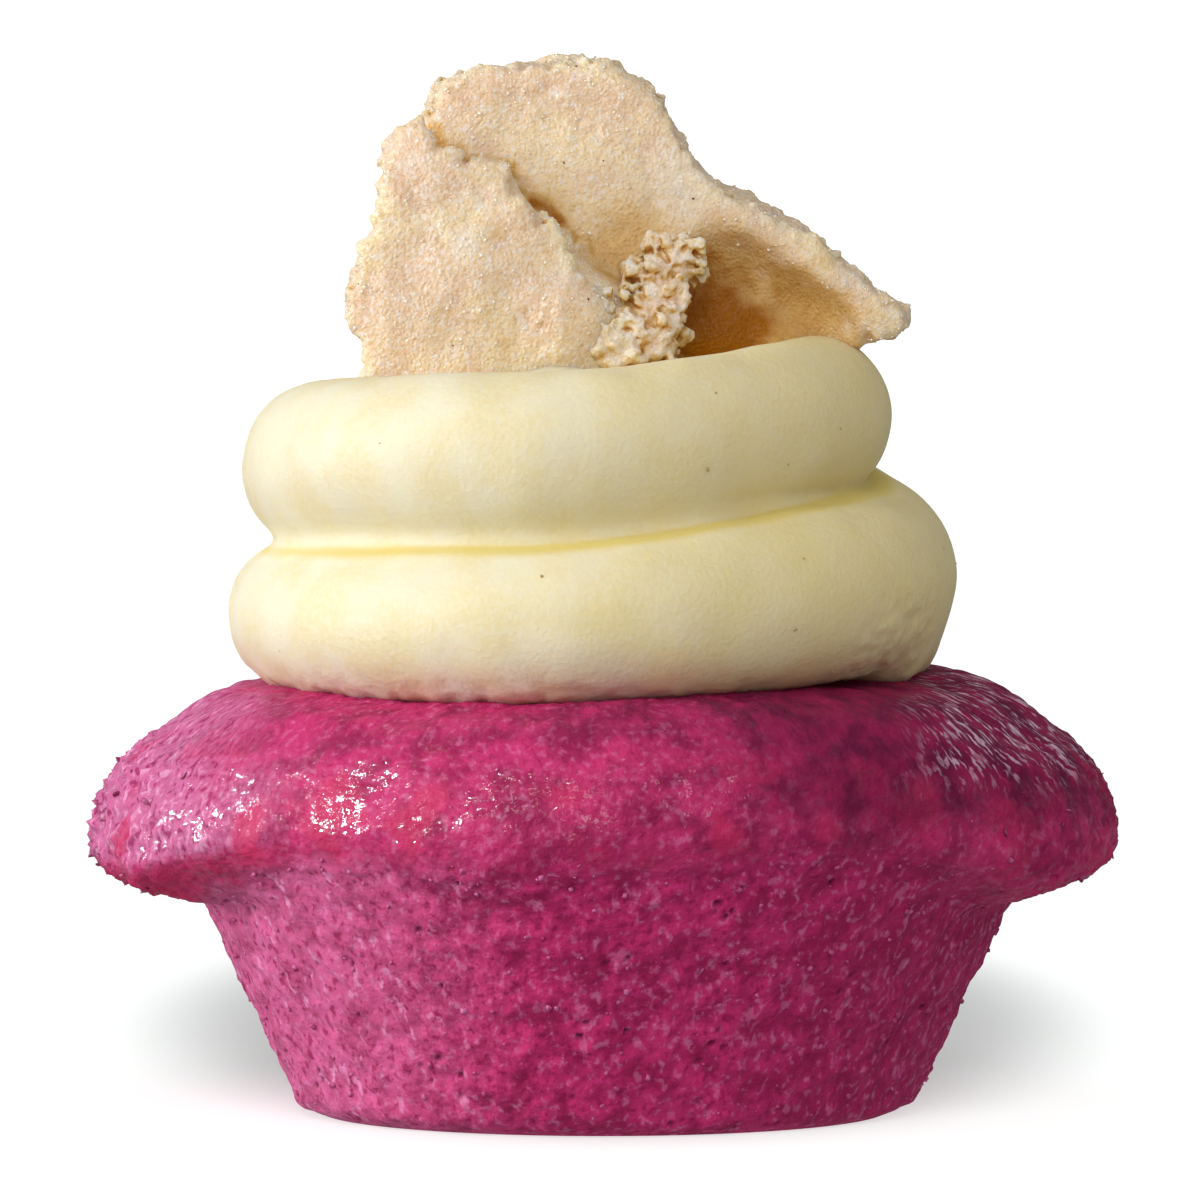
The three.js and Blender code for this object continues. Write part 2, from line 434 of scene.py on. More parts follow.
class Recipe:
    """A material's nodes, built up step by step. Sizes are in millimetres."""

    DRIFT = (1, 0.7, 1.3)

    def __init__(self, name: str) -> None:
        """Starts a material whose textures are placed in the object's own space.

        Args:
            name: The material's name.
        """
        self.material = bpy.data.materials.new(name)
        self.material.use_nodes = True
        self.tree = self.material.node_tree
        self.shader = next(n for n in self.tree.nodes if n.type == "BSDF_PRINCIPLED")
        self.place = self.tree.nodes.new("ShaderNodeTexCoord").outputs["Object"]

    def unroll(self) -> None:
        """Places the textures that follow on the unrolled surface, held by the mesh."""
        node = self.tree.nodes.new("ShaderNodeAttribute")
        node.attribute_name = UNROLLED
        self.place = node.outputs["Vector"]

    def _link(self, value: Value, socket: Socket) -> None:
        """Gives a socket its value.

        Args:
            value: A value, or another socket that it comes from.
            socket: The socket that takes it.
        """
        if isinstance(value, bpy.types.NodeSocket):
            self.tree.links.new(value, socket)
        else:
            socket.default_value = value

    def _placed(self, size: float, seed: float, stretch: Triple) -> Socket:
        """The place in a texture.

        Args:
            size: The size of the texture's features.
            seed: Shifts the texture.
            stretch: How much longer the features are along each axis.

        Returns:
            The place, which a texture's node takes.
        """
        node = self.tree.nodes.new("ShaderNodeMapping")
        node.inputs["Location"].default_value = [seed * share for share in self.DRIFT]
        node.inputs["Scale"].default_value = [1 / (size * MM * s) for s in stretch]
        self.tree.links.new(self.place, node.inputs["Vector"])
        return node.outputs["Vector"]

    def zone(self, name: str) -> Socket:
        """A value that the mesh holds at each point.

        Args:
            name: The zone's name.

        Returns:
            The value.
        """
        node = self.tree.nodes.new("ShaderNodeAttribute")
        node.attribute_name = name
        return node.outputs["Fac"]

    def noise(self, size: float, detail: float = 2, seed: float = 0, stretch: Triple = EVEN) -> Socket:
        """Cloudy noise from 0 to 1.

        Args:
            size: The size of its lumps.
            detail: How many finer layers it has.
            seed: Shifts it, so that two noises differ.
            stretch: How much longer the lumps are along each axis.

        Returns:
            The noise's value.
        """
        node = self.tree.nodes.new("ShaderNodeTexNoise")
        node.inputs["Scale"].default_value = 1
        node.inputs["Detail"].default_value = detail
        self.tree.links.new(self._placed(size, seed, stretch), node.inputs["Vector"])
        return node.outputs["Fac"]

    def foam(self, size: float, seed: float = 0) -> Socket:
        """Cells like those of a foam.

        Args:
            size: The size of a cell.
            seed: Shifts the cells.

        Returns:
            The distance from the cells' middles, in cells.
        """
        node = self.tree.nodes.new("ShaderNodeTexVoronoi")
        node.inputs["Scale"].default_value = 1
        self.tree.links.new(self._placed(size, seed, EVEN), node.inputs["Vector"])
        return node.outputs["Distance"]

    def sum(self, operation: str, first: Socket | float, second: Socket | float) -> Socket:
        """A sum of two values, kept between 0 and 1.

        Args:
            operation: The kind of sum, such as ADD or MULTIPLY.
            first: One value.
            second: The other.

        Returns:
            The outcome.
        """
        node = self.tree.nodes.new("ShaderNodeMath")
        node.operation = operation
        node.use_clamp = True
        self._link(first, node.inputs[0])
        self._link(second, node.inputs[1])
        return node.outputs[0]

    def ramp(self, value: Socket, low: float, high: float, start: float = 0, end: float = 1) -> Socket:
        """Eases from one level to another as a value rises or falls.

        Args:
            value: The value.
            low: Where the easing starts.
            high: Where it ends, which may lie below.
            start: The level at its start.
            end: The level at its end.

        Returns:
            The level.
        """
        node = self.tree.nodes.new("ShaderNodeMapRange")
        node.interpolation_type = "SMOOTHSTEP"
        self.tree.links.new(value, node.inputs["Value"])
        for name, number in zip(("From Min", "From Max", "To Min", "To Max"), (low, high, start, end)):
            node.inputs[name].default_value = number
        return node.outputs["Result"]

    def blend(self, share: Socket, first: Socket | Colour, second: Socket | Colour) -> Socket:
        """Blends two colours.

        Args:
            share: How much of the second there is.
            first: One colour.
            second: The other.

        Returns:
            The blended colour.
        """
        node = self.tree.nodes.new("ShaderNodeMix")
        node.data_type = "RGBA"
        colours = [s for s in node.inputs if s.type == "RGBA"]
        self._link(share, node.inputs["Factor"])
        self._link(first, colours[0])
        self._link(second, colours[1])
        return next(s for s in node.outputs if s.type == "RGBA")

    def bump(self, height: Socket, depth: float, under: Socket | None = None) -> Socket:
        """Fine relief.

        Args:
            height: The relief's height, from 0 to 1.
            depth: How deep that is.
            under: The relief that it lies on, if any.

        Returns:
            The direction that the surface faces.
        """
        node = self.tree.nodes.new("ShaderNodeBump")
        node.inputs["Distance"].default_value = depth * MM
        self.tree.links.new(height, node.inputs["Height"])
        if under:
            self.tree.links.new(under, node.inputs["Normal"])
        return node.outputs["Normal"]

    def set(self, **values: Value) -> None:
        """Sets the shader's own sockets, named with underscores for spaces."""
        for name, value in values.items():
            self._link(value, self.shader.inputs[name.replace("_", " ")])


@dataclass(frozen=True)
class SpongeFinish:
    """Magenta sponge: sticky mottled skin above and an open crumb on the side."""

    crumb: Colour = paint("cc2f73")
    crumb_light: Colour = paint("ea94c2")
    crumb_deep: Colour = paint("9a184f")
    crumb_lit: Colour = paint("ea7cb2")
    pit_shade: Colour = paint("5a0a30")
    skin: Colour = paint("c42e6c")
    skin_light: Colour = paint("dd80ae")
    skin_deep: Colour = paint("981a50")
    lilac_and_sheen: Colour = paint("cb6698")
    lilac_light: Colour = paint("e5a0c4")
    lilac_deep: Colour = paint("9c2762")
    plum_and_shade: Colour = paint("90164a")
    sheen_streak: Colour = paint("d2b0c6")
    plum_deep: Colour = paint("6a0f3c")
    syrup: Colour = paint("cb2c60")
    roughness: float = 0.6
    shine: float = 0.12
    coat_roughness: float = 0.06
    coat_ior: float = 1.7
    glow: float = 0.3
    glow_reach: float = 0.7
    glow_tint: Triple = (1.0, 0.25, 0.5)
    crumb_depth: float = 0.15
    wrinkle_depth: float = 0.035
    drop_depth: float = 0.2

    def _crumb(self, r: Recipe) -> Socket:
        """The colour of the crumb: cloudy, grainy, with light flecks drawn upright; lighter towards the lit
        left as painted light, darker towards the right as painted shade.

        Args:
            r: The material.

        Returns:
            The colour.
        """
        clouds = r.noise(1.4, detail=4, seed=3)
        colour = r.blend(r.ramp(clouds, 0.36, 0.6, 0.25, 1), self.crumb_deep, self.crumb)
        # Painted light: the rosy zone makes the crumb lighter pink towards the left, where the light falls.
        colour = r.blend(r.sum("MULTIPLY", r.zone("rosy"), clouds), colour, self.crumb_lit)
        # Painted shade: the crumb is darker towards the right, away from the light.
        colour = r.blend(r.zone("shade_right"), colour, self.crumb_deep)
        grain = r.noise(0.38, detail=3, seed=6, stretch=(1, 1, 1.3))
        colour = r.blend(r.ramp(grain, 0.54, 0.74, 0, 0.42), colour, self.crumb_light)
        colour = r.blend(r.ramp(grain, 0.46, 0.32, 0, 0.75), colour, self.crumb_deep)
        flecks = r.noise(0.75, detail=4, seed=8, stretch=(0.8, 0.8, 1.7))
        # More light flecks towards the left: partly light crumbs, partly painted glints where the light
        # falls.
        flecks = r.sum("MULTIPLY", r.ramp(flecks, 0.6, 0.68), r.ramp(r.zone("rosy"), 0, 1, 0.25, 0.85))
        return r.blend(flecks, colour, self.crumb_light)

    def _skin(self, r: Recipe) -> Socket:
        """The colour of the skin: lilac at the left with a painted sheen where the light falls, and plum at
        the right, partly painted shade, with painted sheen streaks.

        Args:
            r: The material.

        Returns:
            The colour.
        """
        spots = r.noise(0.44, detail=2, seed=5, stretch=(0.9, 0.9, 1.1))
        clouds = r.noise(1.9, detail=3, seed=14)
        colour = r.blend(r.ramp(clouds, 0.35, 0.6, 0.1, 1), self.skin_deep, self.skin)
        colour = r.blend(r.ramp(spots, 0.5, 0.75, 0, 0.4), colour, self.skin_light)
        colour = r.blend(r.ramp(spots, 0.42, 0.3, 0, 0.6), colour, self.skin_deep)
        dashes = r.noise(0.32, detail=3, seed=25, stretch=(0.8, 0.8, 1.5))
        # Partly lilac skin, partly painted sheen: the left lip, where the light falls, is lighter with
        # light dashes.
        lilac_and_sheen = r.blend(r.ramp(dashes, 0.52, 0.68, 0, 0.8), self.lilac_and_sheen, self.lilac_light)
        lilac_and_sheen = r.blend(r.ramp(dashes, 0.46, 0.36, 0, 0.9), lilac_and_sheen, self.lilac_deep)
        colour = r.blend(r.zone("lilac_and_sheen"), colour, lilac_and_sheen)
        # Plum skin at the right. It is darker there partly as painted shade, away from the light, and under
        # the icing as painted shadow.
        plum_and_shade = r.blend(r.ramp(clouds, 0.35, 0.65), self.plum_deep, self.plum_and_shade)
        # Painted sheen: light streaks on the right lip stand in for glossy reflections.
        sheen_ridges = r.ramp(r.noise(0.4, detail=2, seed=35, stretch=(0.7, 0.7, 2.4)), 0.53, 0.62)
        sheen_ridges = r.sum("MULTIPLY", sheen_ridges, r.ramp(spots, 0.3, 0.6, 0.3, 1))
        plum_and_shade = r.blend(r.sum("MULTIPLY", sheen_ridges, r.zone("sheen_streaked")), plum_and_shade, self.sheen_streak)
        colour = r.blend(r.zone("plum_and_shade"), colour, plum_and_shade)
        return r.blend(r.zone("syrup"), colour, self.syrup)

    def build(self) -> bpy.types.Material:
        """Builds the finish.

        Returns:
            The material.
        """
        r = Recipe("sponge finish")
        drops = r.ramp(r.noise(0.4, detail=2, seed=46), 0.49, 0.55, 0.06, 1)
        wet = r.sum("MULTIPLY", r.zone("wet"), drops)
        crumb = self._crumb(r)
        coarse = r.bump(r.noise(0.4, detail=4, seed=2), self.crumb_depth)
        wrinkles = r.bump(r.noise(0.16, detail=2, seed=42), self.wrinkle_depth, under=coarse)
        r.unroll()
        skin = self._skin(r)
        # Painted shade: the crumb's pits, carved in the relief, are also painted dark.
        colour = r.blend(r.zone("shaded_pits"), r.blend(r.zone("skin"), crumb, skin), self.pit_shade)
        beads = r.bump(r.noise(0.6, detail=2, seed=44, stretch=(1, 1, 1.2)), self.drop_depth)
        r.set(
            Base_Color=colour,
            Roughness=self.roughness,
            Normal=wrinkles,
            Specular_IOR_Level=self.shine,
            Coat_Weight=wet,
            Coat_Roughness=self.coat_roughness,
            Coat_IOR=self.coat_ior,
            Coat_Normal=beads,
            Subsurface_Weight=self.glow,
            Subsurface_Scale=self.glow_reach * MM,
            Subsurface_Radius=self.glow_tint,
        )
        return r.material


@dataclass(frozen=True)
class IcingFinish:
    """Smooth pale-yellow icing with a soft sheen."""

    cream: Colour = paint("ebe4c8")
    butter: Colour = paint("e8dbaf")
    shade_tint: Colour = paint("e3cf8e")
    crease: Colour = paint("dcc66c")
    bottom_tint: Colour = paint("c08f74")
    shine: float = 0.3
    glow: float = 0.6
    glow_reach: float = 1.6
    glow_tint: Triple = (1.0, 0.85, 0.4)
    dent_depth: float = 0.05
    grain_depth: float = 0.05

    def build(self) -> bpy.types.Material:
        """Builds the finish.

        Returns:
            The material.
        """
        r = Recipe("icing finish")
        mottle = r.ramp(r.noise(3.2, detail=3, seed=4), 0.35, 0.65)
        colour = r.blend(mottle, self.cream, self.butter)
        fuzz = r.ramp(r.noise(0.3, detail=4, seed=29), 0.42, 0.62, 0, 0.45)
        colour = r.blend(fuzz, colour, self.cream)
        # Painted shade: the icing is a deeper yellow towards the right, away from the light.
        colour = r.blend(r.zone("shade_tint"), colour, self.shade_tint)
        # Painted shade: a deeper yellow in the creases between the turns.
        colour = r.blend(r.ramp(r.zone("shaded_hollow"), 0.28, 0.8, 0, 0.9), colour, self.crease)
        # Browner along the bottom edge, where the icing meets the sponge.
        colour = r.blend(r.sum("MULTIPLY", r.zone("bottom_tint"), 0.7), colour, self.bottom_tint)
        dents = r.bump(r.noise(1.3, detail=3, seed=7), self.dent_depth)
        grain = r.bump(r.noise(0.24, detail=3, seed=9), self.grain_depth, under=dents)
        r.set(
            Base_Color=colour,
            Roughness=r.ramp(r.zone("shaded_hollow"), 0.1, 0.6, 0.58, 0.95),
            Normal=grain,
            Specular_IOR_Level=self.shine,
            Subsurface_Weight=self.glow,
            Subsurface_Scale=self.glow_reach * MM,
            Subsurface_Radius=self.glow_tint,
        )
        return r.material


@dataclass(frozen=True)
class DoughFinish:
    """Raw cookie dough: grainy with sugar, with amber painted as shade where light sinks into its hollows.
    """

    dough: Colour = paint("f3dbb2")
    rosy: Colour = paint("eccdac")
    pale: Colour = paint("efe4da")
    honey_shade: Colour = paint("dcb46e")
    amber_shade: Colour = paint("b06c00")
    shade: Colour = paint("dcb78c")
    shine: float = 0.35
    glow: float = 0.6
    glow_reach: float = 1.3
    glow_tint: Triple = (1.0, 0.85, 0.45)
    grain_depth: float = 0.11
    sugar_size: float = 0.17
    sugar_depth: float = 0.035

    def build(self) -> bpy.types.Material:
        """Builds the finish.

        Returns:
            The material.
        """
        r = Recipe("dough finish")
        colour = r.blend(r.ramp(r.noise(3.4, detail=3, seed=6), 0.4, 0.62), self.dough, self.rosy)
        colour = r.blend(r.ramp(r.noise(0.8, detail=4, seed=15), 0.55, 0.72, 0, 0.35), colour, self.pale)
        shades = r.noise(0.22, detail=2, seed=23)
        colour = r.blend(r.ramp(shades, 0.52, 0.68, 0, 0.8), colour, self.pale)
        colour = r.blend(r.ramp(shades, 0.46, 0.32, 0, 0.45), colour, self.shade)
        colour = r.blend(r.sum("MULTIPLY", r.zone("pale"), 0.8), colour, self.pale)
        # Painted shade: honey, then amber, where light sinks into the dough's hollows.
        colour = r.blend(r.ramp(r.zone("amber_shade"), 0, 0.5), colour, self.honey_shade)
        colour = r.blend(r.ramp(r.zone("amber_shade"), 0.3, 1), colour, self.amber_shade)
        grain = r.bump(r.noise(0.26, detail=3, seed=12), self.grain_depth)
        sugar = r.ramp(r.foam(self.sugar_size, seed=3), 0.1, 0.7, 1, 0)
        r.set(
            Base_Color=colour,
            Roughness=r.ramp(r.noise(0.18, detail=1, seed=17), 0.4, 0.6, 0.3, 0.65),
            Normal=r.bump(sugar, self.sugar_depth, under=grain),
            Specular_IOR_Level=self.shine,
            Subsurface_Weight=self.glow,
            Subsurface_Scale=self.glow_reach * MM,
            Subsurface_Radius=self.glow_tint,
        )
        return r.material


@dataclass(frozen=True)
class MorselFinish:
    """The finish of the small things: sugar, specks, crumbs."""

    name: str
    colour: Colour
    mottle: Colour
    roughness: float
    mottle_size: float = 0.3

    def build(self) -> bpy.types.Material:
        """Builds the finish.

        Returns:
            The material.
        """
        r = Recipe(self.name)
        share = r.ramp(r.noise(self.mottle_size, seed=2), 0.35, 0.65)
        r.set(Base_Color=r.blend(share, self.colour, self.mottle), Roughness=self.roughness)
        return r.material


class Morsel(Enum):
    """The kinds of small thing that are scattered."""

    CRYSTAL = "a small blocky crystal"
    CRUMB = "a rough round crumb"
    FLAKE = "a thin torn flake"

    def mould(self) -> tuple[Array, Array]:
        """One of its kind, about 1 across.

        Returns:
            Its points and its three-sided faces.
        """
        ball = bmesh.new()
        if self is Morsel.CRYSTAL:
            bmesh.ops.create_cube(ball, size=CRYSTAL_WIDTH)
            bmesh.ops.triangulate(ball, faces=ball.faces[:])
        else:
            bmesh.ops.create_icosphere(ball, subdivisions=2, radius=0.5)
        spots = np.array([v.co for v in ball.verts])
        faces = np.array([[v.index for v in f.verts] for f in ball.faces])
        ball.free()
        if self is Morsel.FLAKE:
            spots *= FLAKE_SHAPE
        return spots, faces


@dataclass
class Scatter:
    """Many small things of one kind on a surface, joined into one mesh."""

    kind: Morsel
    smallest: float
    largest: float
    sunk: float
    seed: int
    stretch: Span = (0.7, 1.3)
    unevenness: float = 0.2
    most_uneven: float = 1.5

    def mesh(self, spots: Array, slopes: Array) -> tuple[Array, Array]:
        """Sets one thing at each spot, turned at random and a little uneven.

        Args:
            spots: Where they sit.
            slopes: The surface's outward directions there.

        Returns:
            The joined points and faces.
        """
        rng = np.random.default_rng(self.seed)
        mould, faces = self.kind.mould()
        count = len(spots)
        size = self.smallest + (self.largest - self.smallest) * rng.random(count) ** 2
        turns = np.linalg.qr(rng.normal(size=(count, 3, 3)))[0]
        turns *= np.linalg.det(turns)[:, None, None]
        stretch = rng.uniform(*self.stretch, (count, 1, 3))
        dents = rng.normal(size=(count, len(mould), 1)).clip(-self.most_uneven, self.most_uneven)
        uneven = 1 + self.unevenness * dents
        local = mould[None] * uneven * stretch * size[:, None, None]
        seats = spots + slopes * (size * (0.5 - self.sunk))[:, None]
        placed = np.einsum("nij,nkj->nki", turns, local) + seats[:, None, :]
        joined = faces[None] + (np.arange(count) * len(mould))[:, None, None]
        return placed.reshape(-1, 3), joined.reshape(-1, 3)

    def build(self, name: str, finish: MorselFinish, slot: str, spots: Array, slopes: Array) -> None:
        """Builds the things as one piece.

        Args:
            name: The piece's name.
            finish: Its finish.
            slot: Not used.
            spots: Where the things sit.
            slopes: The surface's outward directions there.
        """
        dress(build_piece(name, *self.mesh(spots, slopes)), finish.build())


@dataclass
class Sponge:
    """The cake: a lathe-like body whose lip hangs over at the sides, not at the front."""

    base_radius: float = 12.4
    crown_height: float = 20.1
    # The outline's knots, each a radius and a height.
    stand: tuple = ((13.4, 0.5), (14.1, 1.7), (15.6, 4.9))
    side: tuple = (
        (17.0, 7.9), (17.8, 9.4), (19.4, 9.9), (21.7, 11.0),
        (22.3, 12.1), (21.7, 14.4), (19.6, 16.7),
    )
    front: tuple = (
        (17.5, 8.5), (18.4, 10.3), (19.0, 11.5), (19.7, 12.5),
        (20.1, 13.6), (19.8, 15.3), (18.9, 17.0),
    )
    crown: tuple = ((16.2, 18.7), (8.1, 19.8))
    outline_waves: tuple = ((0.2, 3, 0.4), (0.1, 7, 1.8))
    lip_sway: tuple = ((0.25, 1, 0.5), (0.15, 4, 0.0))
    front_waves: tuple = ((0.07, 5, 0.8),)
    front_begins: float = 0.32
    front_full: float = 0.84
    back_share: float = 0.45
    skin_girth: float = 20.0
    hidden_from: float = 13.5
    hidden_share: float = 0.3
    foot_free: float = 0.6
    segments: int = 620
    rings: int = 150
    base_rings: int = 6
    # Where each zone sets in and where it is full: across (reach), in height, or in noise (patches).
    patch_size: float = 3.6
    lilac_reach: Span = (-12.5, -18.5)
    lit_left_reach: Span = (-2.0, -14.0)
    shade_right_reach: Span = (4.0, 13.0)
    plum_reach: Span = (2.5, 12.0)
    plum_height: Span = (12.0, 14.8)
    shade_reach: Span = (-9.0, 3.0)
    shade_height: Span = (16.9, 18.3)
    streak_reach: Span = (12.0, 16.0)
    streak_height: Span = (14.0, 16.5)
    syrup_patches: Span = (0.12, 0.4)
    syrup_top: Span = (10.5, 9.0)
    under_reach: Span = (-4.0, -10.0)
    wet_reach: Span = (-2.0, -9.0)
    wet_patches: Span = (-0.25, 0.2)
    dry_height: Span = (16.6, 17.8)
    damp_reach: Span = (-1.0, -9.0)
    damp_patches: Span = (0.0, 0.3)
    lumps: tuple = ((0.12, 1.7), (0.1, 0.75))
    pit_size: float = 0.8
    pit_edge: Span = (0.24, 0.12)
    pit_depth: float = 0.16
    lip_reach: Span = (13.0, 19.0)
    lip_height: Span = (18.0, 15.0)
    torn_reach: Span = (-18.0, -20.5)
    crumbs: int = 600
    flakes: int = 90
    flakes_from: float = 20.5

    NECK = 5
    LIP = 8

    def _spline(self, rim: tuple, share: Array) -> Array:
        """The outline through its knots, as radius and height.

        Args:
            rim: The knots of the neck and lip.
            share: How far up the outline, from 0 to 1.

        Returns:
            A radius and a height for each share.
        """
        knots = np.array([(self.base_radius, 0.0), *self.stand, *rim, *self.crown])
        last = len(knots) - 1
        place = np.clip(share, 0, 1) * last
        step = np.minimum(place.astype(int), last - 1)
        t = (place - step)[:, None]
        a, b = knots[np.maximum(step - 1, 0)], knots[step]
        c, d = knots[step + 1], knots[np.minimum(step + 2, last)]
        leave, arrive = (c - a) / 2, (d - b) / 2
        cubic = (2 * b - 2 * c + leave + arrive) * t**3
        square = (3 * c - 3 * b - 2 * leave - arrive) * t**2
        return cubic + square + leave * t + b

    def _shares(self) -> Array:
        """Spaces the rings evenly along the outline, but sparsely under the icing.

        Returns:
            Each ring's share of the way up.
        """
        fine = np.linspace(0, 1, 2000)
        outline = self._spline(self.side, fine)
        steps = np.linalg.norm(np.diff(outline, axis=0), axis=1)
        hidden = (outline[1:, 0] < self.hidden_from) & (outline[1:, 1] > self.crown[0][1])
        steps[hidden] *= self.hidden_share
        run = np.concatenate([[0], np.cumsum(steps)])
        return np.interp(np.linspace(0, run[-1], self.rings), run, fine)

    def _bare(self) -> tuple[Array, Array, Array]:
        """The body before its relief.

        Returns:
            Its points by ring and segment, each ring's station, and the angles.
        """
        shares = self._shares()
        angle = np.linspace(0, 2 * math.pi, self.segments, endpoint=False)
        front = ease(self.front_begins, self.front_full, -np.sin(angle))
        back = self.back_share * ease(self.front_begins, 1, np.sin(angle))
        mix = np.clip(front + back + wave(self.front_waves, angle), 0, 1)[None, :, None]
        side, lip = self._spline(self.side, shares), self._spline(self.front, shares)
        outline = side[:, None] * (1 - mix) + lip[:, None] * mix
        radius, height = outline[..., 0], outline[..., 1]
        free = ease(0, self.stand[1][1], height)
        high = ease(self.side[1][1], self.side[4][1], height)
        radius = radius + free * wave(self.outline_waves, angle)
        height = height + high * wave(self.lip_sway, angle)
        spots = np.stack([radius * np.cos(angle), radius * np.sin(angle), height], axis=-1)
        station = shares * (len(self.stand) + len(self.side) + len(self.crown))
        return spots, station, angle

    def _zones(self, spots: Array, station: Array) -> dict[str, Array]:
        """The zones that the relief and the finish read.

        Args:
            spots: Points on the body.
            station: How far up the outline each lies, counted in knots.

        Returns:
            The zones' values at each point.
        """
        grain = Grain(11)
        x, y, z = spots.T
        patch, fine = grain.at(spots, self.patch_size), grain.at(spots + 9, 1.3)
        low = self.NECK - 0.2 + 1.4 * ease(0.3, 0.9, -y / np.hypot(x, y))
        skin = ease(low, low + 1.6, station + 0.5 * patch + 0.3 * fine)
        left = ease(*self.lilac_reach, x + 1.5 * patch)
        right = ease(*self.plum_reach, x + 2.0 * patch + 1.1 * (z - 15))
        # Partly plum skin, partly painted shade: darker towards the right, away from the light.
        plum_and_shade = 0.95 * right * ease(*self.plum_height, z + 0.6 * patch)
        # Painted shadow: a dark band on the crown just under the icing.
        shade = 0.5 * ease(*self.shade_height, z) * ease(*self.shade_reach, x)
        syrup = ease(*self.syrup_patches, grain.at(spots + 17, 3.0) + 0.25 * fine)
        syrup *= ease(*self.syrup_top, station) * (1 - 0.6 * right)
        under = ease(*self.under_reach, x) * ease(self.NECK + 0.6, self.NECK + 1.2, station)
        under *= ease(self.LIP - 0.2, self.LIP - 1.0, station)
        wet = ease(*self.wet_patches, grain.at(spots + 20, 2.6))
        wet = wet * (1 - 0.8 * ease(*self.dry_height, z))
        wet = 0.08 + (0.35 + 0.55 * ease(*self.wet_reach, x)) * wet
        damp = 0.5 * ease(*self.damp_reach, x) * ease(*self.damp_patches, grain.at(spots + 25, 0.8))
        return {
            "skin": skin,
            # Lilac skin with painted sheen on the lit left lip, kept off the shaded underside.
            "lilac_and_sheen": left * (1 - 0.9 * under),
            # Painted light: rosy rises towards the lit left.
            "rosy": ease(*self.lit_left_reach, x + patch),
            # Painted shade towards the right, away from the light.
            "shade_right": 0.45 * ease(*self.shade_right_reach, x + patch),
            # Plum skin and painted shade at the right, with the painted shadow under the icing.
            "plum_and_shade": np.maximum(plum_and_shade, shade),
            # Where the painted sheen streaks lie, high on the right lip.
            "sheen_streaked": ease(*self.streak_reach, x + patch) * ease(*self.streak_height, z + patch),
            "syrup": skin * np.clip(0.65 * syrup + 0.6 * under, 0, 1),
            "wet": skin * wet + (1 - skin) * damp,
        }

    def _relief(self, spots: Array, unrolled: Array, zones: dict[str, Array]) -> Array:
        """The crumb's and the skin's relief.

        Args:
            spots: Points on the body.
            unrolled: The same points on the unrolled surface.
            zones: The body's zones, to which the shaded pits are added.

        Returns:
            The height of the relief at each point.
        """
        grain, foam = Grain(11), Grain(12)
        skin, syrup = zones["skin"], zones["syrup"]
        lumps = grain.layers(spots, self.lumps) + 0.08 * foam.at(spots * (1, 1, 0.7), 0.45)
        holes = ease(*self.pit_edge, foam.nearest(spots * (1, 1, 1.3), self.pit_size))
        # The pits are carved below and painted dark as shade in the finish.
        zones["shaded_pits"] = holes * ease(0.1, 0.5, grain.at(spots + 40, 2.2)) * (1 - skin)
        wrinkles = 0.06 * foam.at(unrolled * (1, 1, 0.45), 0.5) + 0.06 * grain.at(unrolled, 0.9)
        lip = ease(*self.lip_reach, np.abs(spots[:, 0])) * ease(*self.lip_height, spots[:, 2])
        lip *= 1 + 0.9 * ease(*self.torn_reach, spots[:, 0])
        ragged = lip * (0.24 * np.abs(foam.at(spots + 60, 0.9)) + 0.2 * np.abs(foam.at(spots, 0.5)))
        top = 0.14 * grain.at(spots, 2.4) + wrinkles * (1 - 0.7 * syrup) + ragged
        return (1 - skin) * (lumps - self.pit_depth * zones["shaded_pits"]) + skin * top

    def mesh(self) -> tuple[Array, list[list[int]], dict[str, Array], Array]:
        """The finished body.

        Returns:
            Its points, faces and zones, and the outward direction at each point.
        """
        bare, station, angle = self._bare()
        up = np.gradient(bare, axis=0)
        around = np.roll(bare, -1, axis=1) - np.roll(bare, 1, axis=1)
        slopes = np.cross(around, up)
        slopes /= np.maximum(np.linalg.norm(slopes, axis=-1, keepdims=True), TINY)
        spots, slopes = bare.reshape(-1, 3), slopes.reshape(-1, 3)
        run = np.concatenate([[0], np.cumsum(np.linalg.norm(up[:-1, 0], axis=1))])
        girth = self.skin_girth * np.stack([np.cos(angle), np.sin(angle)], axis=1)
        unrolled = np.column_stack([np.tile(girth, (self.rings, 1)), np.repeat(run, self.segments)])
        zones = self._zones(spots, np.repeat(station, self.segments))
        relief = self._relief(spots, unrolled, zones)
        zones[UNROLLED] = unrolled * MM
        free = ease(0, self.foot_free, spots[:, 2])
        spots = spots + slopes * (relief * free)[:, None]
        discs = np.linspace(1, 0, self.base_rings, endpoint=False)[:0:-1]
        rim = bare[0]
        base = np.concatenate([rim * (share, share, 1) for share in discs])
        ends = np.array([[0, 0, 0], [0, 0, self.crown_height]])
        spots = np.concatenate([base, spots, ends])
        down, lift = np.tile([0.0, 0, -1], (len(base), 1)), np.array([[0, 0, -1.0], [0, 0, 1]])
        slopes = np.concatenate([down, slopes, lift])
        for zone, values in zones.items():
            width = ((len(base), 2),) + ((0, 0),) * (values.ndim - 1)
            zones[zone] = np.pad(values, width, mode="edge")
        return spots, self._faces(len(discs) + self.rings), zones, slopes

